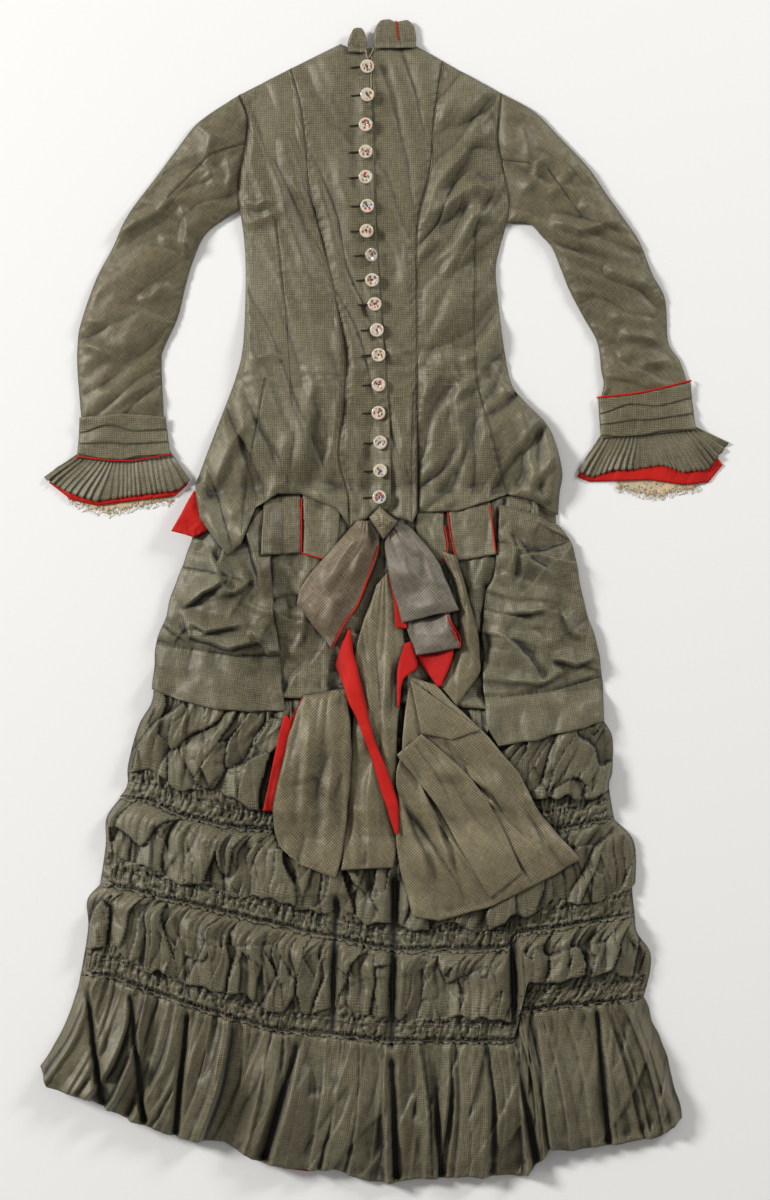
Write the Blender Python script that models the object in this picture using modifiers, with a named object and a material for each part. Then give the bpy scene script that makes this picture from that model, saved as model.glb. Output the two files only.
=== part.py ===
"""A bustle dress of the 1870s laid flat, face up: checked silk, faced and piped with scarlet.

Lengths in the tables are millimetres. X runs to the wearer's left, Y to the neck, Z up.
"Right" and "left" are the wearer's. The dress lies on its back, so its right is at -X.
"""

import bmesh
import bpy
import numpy as np

MM = 0.001
WALL = 1.8            # silk, interlining and lining as one wall
TRIM_WALL = 1.3       # unlined silk: tiers, flounce, tabs, bow and sash
FRILL_WALL = 1.0      # pleated ruffles, frills and lace
SEAM = 0.3            # air between two pieces, beside or above each other
RELIEF_STEP = 3.0     # mesh on which the height of what lies below is kept
RELIEF_REACH = (480.0, 780.0)

STEEPEST = 1.8        # how many times thicker upright the wall may grow on a slope
DISPLAY_GAMMA = 2.2

# Hidden backs: height at the edge, height in the middle, and how far in it is reached
HIDDEN_FORMS = {"skirt": (4.0, 19.0, 110.0), "bodice": (3.0, 13.0, 70.0), "sleeve": (3.0, 11.0, 45.0)}
HIDDEN_INSET = 5.0    # the hidden back lies this far inside the front's edge

BUTTON_RADIUS = 9.0
BUTTON_SIDES = 12
BUTTON_PROFILE = ((0.0, 2.0), (5.5, 2.6), (9.0, 1.5), (8.3, 0.0), (0.0, 0.0))

# sRGB colour and roughness of each cloth
CLOTHS = {
    "checked_silk": ((0.43, 0.40, 0.33), 0.55),
    "bias_silk": ((0.46, 0.43, 0.35), 0.55),
    "scarlet_silk": ((0.80, 0.14, 0.11), 0.50),
    "lace": ((0.78, 0.70, 0.55), 0.90),
    "shell": ((0.85, 0.83, 0.78), 0.35),
}

# Seams and edges of the bodice, from the hem to the neck: x, y
RIGHT_SIDE = [(-230, 102), (-236, 141), (-231, 160), (-209, 218), (-186, 280), (-177, 322),
              (-174, 402), (-176, 451), (-181, 488)]
RIGHT_ARMHOLE = [(-181, 488), (-184, 526), (-174, 565), (-171, 604), (-182, 632)]
RIGHT_PRINCESS = [(-44, 92), (-46, 131), (-58, 179), (-52, 236), (-49, 304), (-62, 379),
                  (-79, 450), (-94, 508), (-99, 565), (-105, 614), (-118, 665)]
RIGHT_FRONT_EDGE = [(0, 111), (7, 125), (7, 179), (5, 236), (1, 289), (-6, 379), (-12, 493),
                    (-14, 579), (-18, 656), (-24, 688)]
LEFT_FRONT_EDGE = [(-9, 112), (-6, 179), (-12, 289), (-20, 379), (-27, 493), (-28, 579),
                   (-26, 650), (-12, 694)]
LEFT_PRINCESS = [(40, 110), (40, 218), (40, 351), (40, 464), (56, 536), (61, 600), (72, 674)]
LEFT_SIDE = [(216, 107), (218, 135), (221, 164), (206, 214), (179, 244), (159, 269),
             (149, 314), (141, 379), (139, 421), (152, 472)]
LEFT_ARMHOLE = [(152, 472), (155, 499), (145, 551), (140, 579), (145, 634)]
RIGHT_SIDE_HEM = [(-230, 102), (-206, 70), (-194, 56), (-178, 70), (-161, 116), (-134, 133),
                  (-104, 133), (-59, 114), (-44, 92)]
LEFT_SIDE_HEM = [(40, 110), (91, 112), (128, 124), (153, 133), (185, 125), (216, 107)]

# Sleeves, cuffs and ruffles, from the wrist to the shoulder: x, y
RIGHT_SLEEVE_OUTER = [(-379, 224), (-384, 286), (-384, 319), (-380, 346), (-361, 401),
                      (-341, 439), (-319, 484), (-285, 530), (-259, 565), (-231, 599), (-182, 632)]
RIGHT_SLEEVE_INNER = [(-276, 225), (-279, 295), (-276, 315), (-259, 353), (-249, 393),
                      (-239, 426), (-225, 456), (-204, 474), (-181, 488)]
LEFT_SLEEVE_INNER = [(268, 249), (273, 270), (270, 288), (265, 323), (248, 354), (231, 386),
                     (219, 416), (209, 440), (195, 456), (179, 471), (152, 472)]
LEFT_SLEEVE_OUTER = [(379, 269), (368, 300), (354, 323), (350, 376), (334, 408), (318, 448),
                     (298, 478), (276, 509), (254, 541), (219, 578), (186, 611), (145, 634)]
RIGHT_CUFF = {"top": [(-381, 229), (-274, 230)], "bottom": [(-384, 180), (-268, 183)]}
LEFT_CUFF = {"top": [(266, 253), (381, 274)], "bottom": [(269, 203), (388, 214)]}
RIGHT_RUFFLE_EDGE = [(-426, 155), (-393, 134), (-359, 126), (-332, 129), (-298, 134),
                     (-259, 139), (-243, 151)]
LEFT_RUFFLE_EDGE = [(241, 163), (258, 156), (283, 163), (346, 170), (372, 161), (403, 165),
                    (430, 198)]
RIGHT_FRILL_EDGE = [(-420, 148), (-393, 127), (-359, 119), (-298, 127), (-262, 131), (-246, 146)]
LEFT_FRILL_EDGE = [(240, 155), (254, 149), (330, 151), (372, 145), (404, 148), (422, 170)]
RIGHT_LACE_EDGE = [(-397, 126), (-370, 114), (-340, 108), (-310, 117), (-264, 124)]
LEFT_LACE_EDGE = [(288, 141), (315, 134), (339, 128), (366, 136), (394, 140)]

LACE_TEETH, LACE_TOOTH, LACE_DEPTH, LACE_TAPER = 16, 5.0, 28.0, 6.0
RUFFLE_TUCK = 4.0     # the ruffle goes this far up under the cuff
FRILL_DROP = 8.0      # the scarlet frill starts this far below the cuff and as far outside it

# Stand collar: lower and upper edge, x, y
COLLARS = {
    "collar_right": ([(-46, 684), (-24, 683)], [(-44, 711), (-23, 713)]),
    "collar_left": ([(-12, 689), (38, 690)], [(-11, 722), (15, 727), (37, 722)]),
}
COLLAR_WALL, COLLAR_DROOP = 2.4, 5.0
NECK_BACK = [(-55, 696), (41, 692)]
SHOULDER_RIGHT = [(-118, 665), (-55, 696), (-45, 689), (-24, 688)]
SHOULDER_LEFT = [(-12, 694), (36, 696), (41, 692), (72, 674)]
FRONT_LEFT_HEM = [(-9, 112), (34, 97), (40, 110)]
HIDDEN_WAIST = 128    # y of the hidden bodice's lower edge

# Gathering lines of the skirt, each from the wearer's right to the left: x, y
PUFF_TOP = [(-289, -92), (-125, -116), (0, -122), (150, -132), (270, -122)]
GATHER_1 = [(-331, -246), (-295, -250), (-250, -270), (-182, -284), (0, -295), (140, -293),
            (219, -286), (286, -272)]
GATHER_2 = [(-356, -354), (-299, -365), (-214, -386), (-106, -411), (12, -436), (152, -434),
            (164, -415), (209, -409), (312, -391)]
GATHER_3 = [(-380, -466), (-344, -469), (-244, -504), (-141, -535), (12, -549), (160, -550),
            (168, -511), (323, -496)]
HEM = [(-431, -581), (-420, -606), (-364, -623), (-333, -638), (-300, -651), (-257, -670),
       (-200, -674), (-164, -696), (-117, -706), (-55, -711), (-19, -725), (9, -724),
       (40, -720), (144, -716), (180, -715), (205, -684), (291, -678), (344, -666), (372, -645)]
RIGHT_TIER_EDGES = (
    [(-331, -246), (-322, -229), (-321, -204), (-308, -156), (-291, -125), (-289, -92)],
    [(-356, -354), (-349, -304), (-348, -271), (-331, -246)],
    [(-380, -466), (-371, -409), (-372, -374), (-356, -354)],
)
LEFT_TIER_EDGES = (
    [(286, -272), (280, -231), (284, -213), (284, -170), (272, -146), (270, -122)],
    [(312, -391), (309, -359), (313, -349), (311, -301), (286, -272)],
    [(323, -496), (331, -464), (331, -438), (315, -414), (312, -391)],
)
RIGHT_FLOUNCE_EDGE = [(-431, -581), (-403, -535), (-386, -488), (-380, -466)]
LEFT_FLOUNCE_EDGE = [(372, -645), (359, -594), (344, -545), (323, -496)]

# The hidden back of the skirt, with the bustle drapery folded under it: x, y
BACK_SKIRT_RIGHT = [(-414, -588), (-378, -490), (-352, -370), (-325, -262), (-300, -160),
                    (-286, -95), (-262, 0), (-236, 80), (-231, 138)]
BACK_SKIRT_LEFT = [(358, -634), (322, -510), (308, -400), (290, -290), (270, -190), (268, -100),
                   (240, 10), (218, 80), (213, 138)]
BACK_SKIRT_HEM = [(-414, -588), (-333, -624), (-244, -658), (-117, -692), (0, -706),
                  (144, -702), (190, -680), (250, -668), (358, -634)]

FRONT_PANEL_TOP = [(-205, 132), (190, 132)]
# Draperies at the hips: right side, left side, lower edge, upper edge
PANNIERS = {
    "pannier_right": ([(-291, -110), (-286, -54), (-274, -20), (-266, 10), (-243, 71), (-236, 118)],
                      [(-125, -136), (-129, -78), (-137, -20), (-141, 55), (-142, 126)],
                      [(-291, -110), (-258, -122), (-210, -134), (-167, -138), (-125, -136)],
                      [(-236, 118), (-142, 126)]),
    "pannier_left": ([(140, -181), (124, -139), (123, -5), (136, 35), (142, 122)],
                     [(273, -148), (270, -85), (261, -45), (247, 6), (233, 72), (216, 96)],
                     [(140, -181), (194, -171), (247, -157), (273, -148)],
                     [(142, 122), (216, 96)]),
}

# Folds of each piece: x and y of its two ends, height and half width
FOLDS = {
    "side_front_right": [(-150, 600, -88, 420, 5, 15), (-165, 535, -100, 370, 4, 13),
                         (-112, 290, -124, 150, 9, 17), (-170, 255, -196, 85, 8, 18),
                         (-70, 260, -76, 130, 6, 13)],
    "front_right": [(-75, 600, -40, 420, 2, 12), (-30, 300, -30, 120, 2, 12)],
    "front_left": [(30, 600, 20, 420, 2, 12), (25, 290, 22, 120, 3, 12)],
    "side_front_left": [(116, 521, 59, 446, 9, 14), (125, 482, 94, 414, 7, 13),
                        (75, 285, 82, 120, 8, 15), (120, 275, 140, 140, 8, 15),
                        (176, 235, 196, 120, 8, 17)],
    "sleeve_right": [(-302, 474, -255, 502, 7, 15), (-255, 502, -229, 506, 6, 13),
                     (-305, 379, -269, 399, 5, 13), (-372, 322, -335, 298, 4, 13),
                     (-215, 590, -205, 510, 5, 14)],
    "sleeve_left": [(212, 468, 262, 466, 8, 14), (262, 466, 300, 480, 7, 14),
                    (196, 560, 178, 500, 6, 14), (262, 380, 330, 392, 5, 14),
                    (290, 335, 352, 322, 5, 13)],
    "pannier_right": [(-250, -4, -192, 30, 9, 15), (-240, -32, -180, -30, 9, 15),
                      (-165, -35, -140, -70, 7, 14), (-180, -110, -150, -60, 6, 15),
                      (-185, 80, -150, 20, 6, 16)],
    "pannier_left": [(138, -35, 175, -72, 8, 14), (175, -72, 200, -108, 7, 14),
                     (160, 50, 250, -40, 7, 18), (205, -58, 258, -70, 7, 13),
                     (126, 40, 124, -80, 6, 12)],
    "front_panel": [(-150, -8, -105, -20, 5, 12), (-150, -70, -90, -62, 4, 12),
                    (75, 40, 88, -60, 5, 12)],
    "sash_tail_left": [(45, -164, 94, -220, 6, 10), (94, -220, 150, -262, 5, 10),
                       (40, -210, 105, -320, 6, 13), (105, -320, 132, -366, 4, 12),
                       (190, -270, 215, -320, 6, 13)],
    "sash_tail_right": [(-95, -140, -105, -300, 6, 13), (-60, -120, -66, -320, 5, 12)],
    "sash_tail_centre": [(-28, -60, -20, -200, 5, 12), (-15, -220, -22, -320, 4, 14)],
    "bow_loop_right": [(-30, 92, -72, 10, 9, 16), (-60, 15, -70, -45, 5, 12)],
    "bow_loop_left": [(16, 88, 40, 20, 9, 17), (40, 20, 62, -12, 6, 16)],
    "bow_under_loop": [(70, 15, 78, -55, 5, 9)],
    "bow_back_loop": [(90, 40, 104, -60, 5, 9)],
}

# Deep folds that cut through the tiers and the flounce: x and y of both ends, half width
DEEP_FOLDS = [(13, -330, 8, -560, 12), (8, -560, 14, -724, 7), (157, -400, 163, -560, 11),
              (163, -560, 192, -716, 7), (-107, -542, -151, -700, 8), (-372, -480, -352, -630, 6),
              (-245, -505, -262, -672, 6), (60, -560, 70, -720, 6), (262, -500, 280, -680, 6)]

# Strips that are gathered or pleated: number of folds, their height, how uneven they are
GATHERS = {
    "flounce": (38, 11.0, 0.34),
    "puff_tier_1": (15, 10.0, 0.40),
    "puff_tier_2": (16, 10.0, 0.42),
    "puff_tier_3": (16, 10.0, 0.38),
    "ruffle_right": (32, 3.2, 0.10),
    "ruffle_left": (35, 3.2, 0.10),
    "red_frill_right": (15, 2.4, 0.25),
    "red_frill_left": (15, 2.4, 0.25),
}
FOLD_SWAY = 0.28      # how much lower the lowest folds of a strip are
# A puffed tier from its lower gathering line up: share of its height, lift, share of the folds
TIER_PROFILE = ((0.0, 0.0, 0.25), (0.27, 1.0, 0.25), (0.33, 13.0, 1.0), (0.48, 15.0, 1.0),
                (0.75, 9.0, 0.8), (1.0, 0.5, 0.25))
TIER_LIP = (2, 3)     # rows of that profile at the puff's lip
TIER_SWAY = 0.06      # how far the lip swings up and down, as a share of the tier
TIER_SWELL = 0.25     # how much lower the lowest puffs of a tier are
# Gathered strips from the hem up: share of the height, share of the folds
FLOUNCE_PROFILE = ((0.0, 1.0), (0.35, 0.85), (0.8, 0.5), (1.0, 0.15))
RUFFLE_PROFILE = ((0.0, 1.0), (0.5, 0.8), (1.0, 0.25))
FRILL_PROFILE = ((0.0, 1.0), (1.0, 0.3))
# A cuff's three tucks: share of its height, lift
CUFF_PROFILE = ((0.0, 0.0), (0.12, 2.2), (0.16, 0.6), (0.42, 2.0), (0.46, 0.6), (0.70, 2.0),
                (0.74, 0.6), (1.0, 0.0))
TIER_LAP = 4.0        # each tier laps over the one below it by this

# Small pieces that lie free: right and left sides from the bottom to the top, x, y
LOOSE_PIECES = {
    "sash_tip": ([(-266, 86), (-237, 138)], [(-238, 79), (-212, 92)]),
    "tab_right_outer": ([(-153, 57), (-151, 112), (-150, 146)], [(-104, 60), (-104, 146)]),
    "tab_right_inner": ([(-102, 58), (-102, 140)], [(-62, 48), (-54, 128)]),
    "tab_left_outer": ([(89, 49), (82, 80), (78, 122)], [(137, 58), (130, 132)]),
    "tab_left_inner": ([(40, 62), (38, 118)], [(70, 47), (78, 66), (73, 94), (75, 122)]),
    "sash_tail_centre": ([(-55, -333), (-41, -163), (-40, -110), (-34, -51), (-10, 20)],
                         [(10, -331), (15, -295), (14, -200), (20, -110), (24, -33), (8, 40)]),
    "bow_back_loop": ([(69, -106), (84, -69), (92, -30), (85, 20), (70, 62)],
                      [(89, -130), (117, -91), (118, -69), (115, -40), (105, 0), (90, 56)]),
    "sash_tail_right": ([(-109, -318), (-127, -307), (-138, -278), (-135, -235), (-114, -149),
                         (-101, -117)],
                        [(-61, -344), (-52, -307), (-43, -221), (-42, -163), (-46, -108)]),
    "sash_tail_left": ([(34, -390), (20, -336), (14, -295), (17, -250), (14, -215), (20, -186),
                        (24, -146), (31, -92)],
                       [(243, -321), (192, -261), (163, -209), (120, -161), (62, -104)]),
    "bow_red_flap": ([(65, -106), (40, -69), (38, -40)], [(70, -105), (84, -67), (84, -40)]),
    "red_ribbon_right": ([(13, -290), (-9, -221), (-26, -169), (-57, -92), (-60, -74), (-48, -34)],
                         [(17, -286), (15, -246), (4, -212), (-12, -172), (-34, -84), (-43, -36)]),
    "red_ribbon_left": ([(15, -132), (15, -100), (17, -78), (24, -52)],
                        [(18, -131), (23, -98), (40, -82), (33, -50)]),
    "bow_under_loop": ([(39, -67), (26, -26), (30, 24)], [(94, -58), (82, -21), (74, 24)]),
    "bow_loop_right": ([(-110, -3), (-99, 27), (-34, 100)],
                       [(-67, -59), (-49, -26), (-32, 0), (-15, 40), (-7, 69), (-14, 98)]),
    "bow_loop_left": ([(21, -27), (16, -9), (5, 32), (-1, 67), (2, 80)],
                      [(92, -11), (76, 25), (67, 48), (47, 75), (31, 92), (14, 98)]),
    "bow_knot": ([(-3, 76), (-20, 104)], [(16, 99), (-7, 117)]),
}
# Lower edges that are not straight from side to side
LOOSE_HEMS = {
    "sash_tail_right": [(-109, -318), (-104, -327), (-61, -344)],
    "sash_tail_left": [(34, -390), (68, -397), (137, -376), (243, -321)],
}
LOOSE_CLOTHS = {"sash_tip": "scarlet_silk", "bow_red_flap": "scarlet_silk",
                "red_ribbon_right": "scarlet_silk", "red_ribbon_left": "scarlet_silk"}
TABS = ("tab_right_outer", "tab_right_inner", "tab_left_outer", "tab_left_inner")
TIP_DROOP = 6.0
KNOT_EDGE, KNOT_CROWN = 3.0, 11.0

# Centres of the seventeen buttons, from the neck down: x, y
BUTTONS = [(-22, 665), (-22, 629), (-24, 592), (-24, 559), (-24, 527), (-22, 491), (-23, 460),
           (-18, 430), (-16, 399), (-13, 369), (-10, 337), (-8, 306), (-8, 269), (-8, 234),
           (-6, 197), (-6, 162), (-7, 129)]


def even(cells):
    """Marks that share a length into equal cells."""
    return np.linspace(0.0, 1.0, cells + 1)


def narrow_edges(cells, edge):
    """Marks with a narrow cell at both ends, where the cloth rolls over the edge."""
    return np.concatenate([[0.0], np.linspace(edge, 1.0 - edge, cells - 1), [1.0]])


def fold_marks(folds, unevenness):
    """Marks at the ridges and valleys of gathers that are unevenly spaced."""
    share = even(2 * folds)
    sway = np.sin(2 * np.pi * (share * 3.1 + 0.2)) + 0.7 * np.sin(2 * np.pi * (share * 7.3 + 0.6))
    marks = share + unevenness * sway * share * (1.0 - share) / folds
    return np.maximum.accumulate(marks)


def along(points, marks):
    """Points at the given shares of a line's length."""
    points = np.array(points, float)
    steps = np.hypot(*np.diff(points, axis=0).T)
    run = np.concatenate([[0.0], np.cumsum(steps)]) / steps.sum()
    return np.stack([np.interp(marks, run, points[:, axis]) for axis in (0, 1)], axis=1)


def shares(line):
    """Shares of the length at which a line's own points lie."""
    steps = np.hypot(*np.diff(line, axis=0).T)
    return np.concatenate([[0.0], np.cumsum(steps)]) / steps.sum()


def panel(left, right, bottom, top):
    """Points of a panel between its four edges, as rows from its bottom to its top."""
    u = 0.5 * (shares(bottom) + shares(top))[None, :, None]
    v = 0.5 * (shares(left) + shares(right))[:, None, None]
    across = (1 - u) * left[:, None] + u * right[:, None]
    down = (1 - v) * bottom[None] + v * top[None]
    corners = ((1 - v) * ((1 - u) * bottom[0] + u * bottom[-1])
               + v * ((1 - u) * top[0] + u * top[-1]))
    return across + down - corners


def inset(grid, gap):
    """The panel's points with its four edges moved in."""
    moved = grid.copy()
    for edge, inner in (((slice(None), 0), (slice(None), 1)), ((slice(None), -1), (slice(None), -2)),
                        ((0, slice(None)), (1, slice(None))), ((-1, slice(None)), (-2, slice(None)))):
        line = grid[edge]
        run = np.gradient(line, axis=0)
        normal = np.stack([-run[:, 1], run[:, 0]], axis=1)
        normal /= np.hypot(*normal.T)[:, None] + 1e-9
        side = np.sign(((grid[inner] - line) * normal).sum(axis=1))
        moved[edge] += normal * side[:, None] * gap
    return moved


def cell_samples(values, count):
    """Values inside each cell of a grid, for both ways of halving the cell."""
    a, b, c, d = values[:-1, :-1], values[:-1, 1:], values[1:, :-1], values[1:, 1:]
    for s in np.linspace(0.0, 1.0, count):
        for t in np.linspace(0.0, 1.0, count):
            one = a + s * (b - a) + t * (c - a) if s + t <= 1 else d + (1 - s) * (c - d) + (1 - t) * (b - d)
            two = b + (1 - s) * (a - b) + t * (d - b) if t <= s else c + s * (d - c) + (1 - t) * (a - c)
            yield one, two


class Relief:
    """How high everything laid down so far stands."""

    def __init__(self):
        self.size = [int(2 * reach / RELIEF_STEP) + 1 for reach in RELIEF_REACH]
        self.height = np.zeros(self.size)

    def place(self, xy):
        index = np.round((xy + np.array(RELIEF_REACH)) / RELIEF_STEP).astype(int)
        return np.clip(index[..., 0], 0, self.size[0] - 1), np.clip(index[..., 1], 0, self.size[1] - 1)

    def lay(self, xy, top):
        """Adds a piece by the points of its upper side."""
        count = samples_for(xy)
        points = np.concatenate([xy, top[..., None]], axis=2)
        for one, two in cell_samples(points, count):
            for point in (one, two):
                np.maximum.at(self.height, self.place(point[..., :2]), point[..., 2])

    def near(self):
        """The relief with each step raised to the highest beside it."""
        wide = np.pad(self.height, 1, mode="edge")
        return np.max([wide[i:i + self.size[0], j:j + self.size[1]]
                       for i in range(3) for j in range(3)], axis=0)

    def rest(self, xy):
        """Lowest height at which each point of a new piece clears all below its cells."""
        near = self.near()
        cells = np.zeros((xy.shape[0] - 1, xy.shape[1] - 1))
        for one, two in cell_samples(xy, samples_for(xy)):
            for point in (one, two):
                cells = np.maximum(cells, near[self.place(point)])
        padded = np.pad(cells, 1, constant_values=0.0)
        highest = np.maximum(np.maximum(padded[:-1, :-1], padded[:-1, 1:]),
                             np.maximum(padded[1:, :-1], padded[1:, 1:]))
        return np.where(highest > 0.0, highest + SEAM, 0.0)

    def spare(self, xy, low):
        """How far a piece can sink before it comes within a seam of what lies below it."""
        least = np.inf
        points = np.concatenate([xy, low[..., None]], axis=2)
        for one, two in cell_samples(points, samples_for(xy)):
            for point in (one, two):
                below = self.height[self.place(point[..., :2])]
                least = min(least, np.where(below > 0.0, point[..., 2] - below, np.inf).min())
        return max(least - SEAM, 0.0) if np.isfinite(least) else 0.0


def samples_for(xy):
    """Samples along a cell's side that leave no step of the relief out."""
    widest = max(np.hypot(*np.moveaxis(np.diff(xy, axis=axis), -1, 0)).max() for axis in (0, 1))
    return int(widest / RELIEF_STEP * 1.5) + 3


def along_fold(xy, x1, y1, x2, y2, width):
    """How far along a fold each point lies, and how near to it, from 0 to 1."""
    start, run = np.array([x1, y1]), np.array([x2 - x1, y2 - y1], float)
    share = np.clip(((xy - start) @ run) / (run @ run), 0.0, 1.0)
    away = np.hypot(*np.moveaxis(xy - start - share[..., None] * run, -1, 0))
    return share, np.exp(-(away / width) ** 2)


def fold_lift(name, xy):
    """Height that the listed folds of a piece add at its points."""
    lift = np.zeros(xy.shape[:2])
    for x1, y1, x2, y2, height, width in FOLDS.get(name, ()):
        share, near = along_fold(xy, x1, y1, x2, y2, width)
        lift += height * near * np.sin(np.pi * (0.15 + 0.7 * share))
    return lift


def deep_folds(xy):
    """Share of its height that the skirt keeps beside its deep folds."""
    kept = np.ones(xy.shape[:2])
    for x1, y1, x2, y2, width in DEEP_FOLDS:
        kept *= 1.0 - 0.92 * along_fold(xy, x1, y1, x2, y2, width)[1]
    return kept


def cloth_material(cloth):
    if cloth in bpy.data.materials:
        return bpy.data.materials[cloth]
    colour, roughness = CLOTHS[cloth]
    material = bpy.data.materials.new(cloth)
    material.use_nodes = True
    shader = material.node_tree.nodes["Principled BSDF"]
    shader.inputs["Base Color"].default_value = (*[c ** DISPLAY_GAMMA for c in colour], 1.0)
    shader.inputs["Roughness"].default_value = roughness
    return material


def add_object(name, mesh, cloth):
    thing = bpy.data.objects.new(name, mesh)
    thing.data.materials.append(cloth_material(cloth))
    bpy.data.collections["bustle_dress"].objects.link(thing)
    return thing


def wall_object(name, xy, low, high, cloth):
    """A closed piece of cloth between two heights over the same points."""
    rows, columns = xy.shape[:2]
    form = bmesh.new()
    bmesh.ops.create_grid(form, x_segments=columns - 1, y_segments=rows - 1, size=0.5)
    upper = form.verts.layers.float.new("upper")
    order = sorted(form.verts, key=lambda vert: (round(vert.co.y, 5), round(vert.co.x, 5)))
    for place, vert in enumerate(order):
        row, column = divmod(place, columns)
        vert.co = (*(xy[row, column] * MM), low[row, column] * MM)
        vert[upper] = high[row, column] * MM
    grown = bmesh.ops.extrude_face_region(form, geom=form.faces[:] + form.edges[:] + form.verts[:],
                                          use_keep_orig=True)
    for vert in (item for item in grown["geom"] if isinstance(item, bmesh.types.BMVert)):
        vert.co.z = vert[upper]
    bmesh.ops.recalc_face_normals(form, faces=form.faces[:])
    form.verts.layers.float.remove(upper)
    mesh = bpy.data.meshes.new(name)
    form.to_mesh(mesh)
    form.free()
    return add_object(name, mesh, cloth)


class Cloth:
    """One piece of cloth: its points seen from above, its folds and its wall."""

    def __init__(self, name, xy, wall=WALL, cloth="checked_silk", lift=0.0, droop=None):
        self.name, self.cloth, self.wall, self.droop = name, cloth, wall, droop
        self.xy = inset(xy, SEAM / 2)
        self.lift = fold_lift(name, self.xy) + lift

    def drape(self, relief):
        """Sets the wall's heights; stiff cloth stays within its droop of its highest seat."""
        seat = relief.rest(self.xy)
        if self.droop is not None:
            seat = np.maximum(seat, seat.max() - self.droop)
        low = seat + self.lift
        self.low = np.maximum(low - relief.spare(self.xy, low), 0.0)
        slope = [np.gradient(self.low, axis=axis)
                 / (np.hypot(*np.moveaxis(np.gradient(self.xy, axis=axis), -1, 0)) + 1e-6)
                 for axis in (0, 1)]
        steep = np.sqrt(1.0 + slope[0] ** 2 + slope[1] ** 2)
        self.high = self.low + self.wall * np.minimum(steep, STEEPEST)

    def build(self, relief):
        wall_object(self.name, self.xy, self.low, self.high, self.cloth)
        relief.lay(self.xy, self.high)


def lay_down(relief, *pieces):
    """Lays pieces side by side on what is there already."""
    for piece in pieces:
        piece.drape(relief)
    for piece in pieces:
        piece.build(relief)


def hidden_back(name, form, xy):
    """The layers that no one sees: one rounded form with a flat underside."""
    edge, crown, rise = HIDDEN_FORMS[form]
    xy = inset(xy, HIDDEN_INSET)
    rim = np.concatenate([xy[0], xy[-1], xy[:, 0], xy[:, -1]])
    away = np.min(np.hypot(xy[..., 0, None] - rim[:, 0], xy[..., 1, None] - rim[:, 1]), axis=2)
    share = np.clip(away / rise, 0.0, 1.0)
    high = edge + (crown - edge) * np.sin(0.5 * np.pi * share)
    wall_object(name, xy, np.zeros(high.shape), high, "checked_silk")
    return xy, high


def flat_sides(bottom, top, cells):
    """A straight pair of sides between the ends of two edges."""
    marks = even(cells)
    return along([bottom[0], top[0]], marks), along([bottom[-1], top[-1]], marks)


def column(table, place):
    """One column of a table, set to be multiplied along a strip's rows."""
    return np.array([row[place] for row in table])[:, None]


def gathered(name, left, right, bottom, top, profile):
    """Points of a strip whose folds run from edge to edge, the folds' height and their count."""
    folds, height, unevenness = GATHERS[name]
    marks, rows = fold_marks(folds, unevenness), column(profile, 0)[:, 0]
    xy = panel(along(left, rows), along(right, rows), along(bottom, marks), along(top, marks))
    count = np.arange(len(marks))
    strength = 1.0 - FOLD_SWAY + FOLD_SWAY * np.sin(count * 1.9) * np.sin(count * 0.37 + 1.0)
    return xy, (count % 2) * height * strength, count


def puff_tier(number, left, right, bottom, top):
    """A tier of shirred silk: puffs whose lips droop over the shirred band below them."""
    name = f"puff_tier_{number}"
    xy, ridge, count = gathered(name, left, right, bottom, top, TIER_PROFILE)
    rows = column(TIER_PROFILE, 0)[:, 0]
    sway = TIER_SWAY * (np.sin(count * 0.9 + number * 2.0) + 0.5 * np.sin(count * 2.3 + number))
    for row in TIER_LIP:
        step = xy[row + 1] - xy[row]
        xy[row] += 0.5 * step * (sway / (rows[row + 1] - rows[row]))[:, None]
    swell = 1.0 - TIER_SWELL + TIER_SWELL * np.sin(count * 0.7 + number * 1.3)
    lift = column(TIER_PROFILE, 1) * swell + column(TIER_PROFILE, 2) * ridge
    return Cloth(name, xy, TRIM_WALL, lift=lift * deep_folds(xy))


def flounce():
    """The gathered flounce at the hem, its folds widening from the gathering line down."""
    xy, ridge, _ = gathered("flounce", RIGHT_FLOUNCE_EDGE, LEFT_FLOUNCE_EDGE, HEM, GATHER_3,
                            FLOUNCE_PROFILE)
    return Cloth("flounce", xy, TRIM_WALL, lift=column(FLOUNCE_PROFILE, 1) * ridge * deep_folds(xy))


def ruffle(name, edge, wrist, cloth, profile):
    """Pleats or gathers that fan out from the wrist."""
    left, right = [edge[0], wrist[0]], [edge[-1], wrist[-1]]
    xy, ridge, _ = gathered(name, left, right, edge, wrist, profile)
    return Cloth(name, xy, FRILL_WALL, cloth, lift=column(profile, 1) * ridge)


def cuff(name, lines):
    """A band with three tucks, each a small step over the next."""
    marks, rows = even(8), column(CUFF_PROFILE, 0)[:, 0]
    left = along([lines["bottom"][0], lines["top"][0]], rows)
    right = along([lines["bottom"][-1], lines["top"][-1]], rows)
    xy = panel(left, right, along(lines["bottom"], marks), along(lines["top"], marks))
    return Cloth(name, xy, WALL, lift=column(CUFF_PROFILE, 1))


def lace(name, edge, top):
    """A torn strip of lace: teeth of uneven length under the ruffle."""
    marks = even(LACE_TEETH)
    bottom, upper = along(edge, marks), along(top, marks)
    bottom[:, 1] += LACE_TOOTH * np.abs(np.sin(np.arange(LACE_TEETH + 1) * 2.1))
    left, right = flat_sides(bottom, upper, 2)
    return Cloth(name, panel(left, right, bottom, upper), FRILL_WALL, "lace")


def loose_points(name, across, length):
    """Points of a tab, loop, ribbon or tail from its row in the table."""
    left, right = LOOSE_PIECES[name]
    hem = LOOSE_HEMS.get(name, [left[0], right[0]])
    return panel(along(left, even(length)), along(right, even(length)),
                 along(hem, even(across)), along([left[-1], right[-1]], even(across)))


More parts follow.
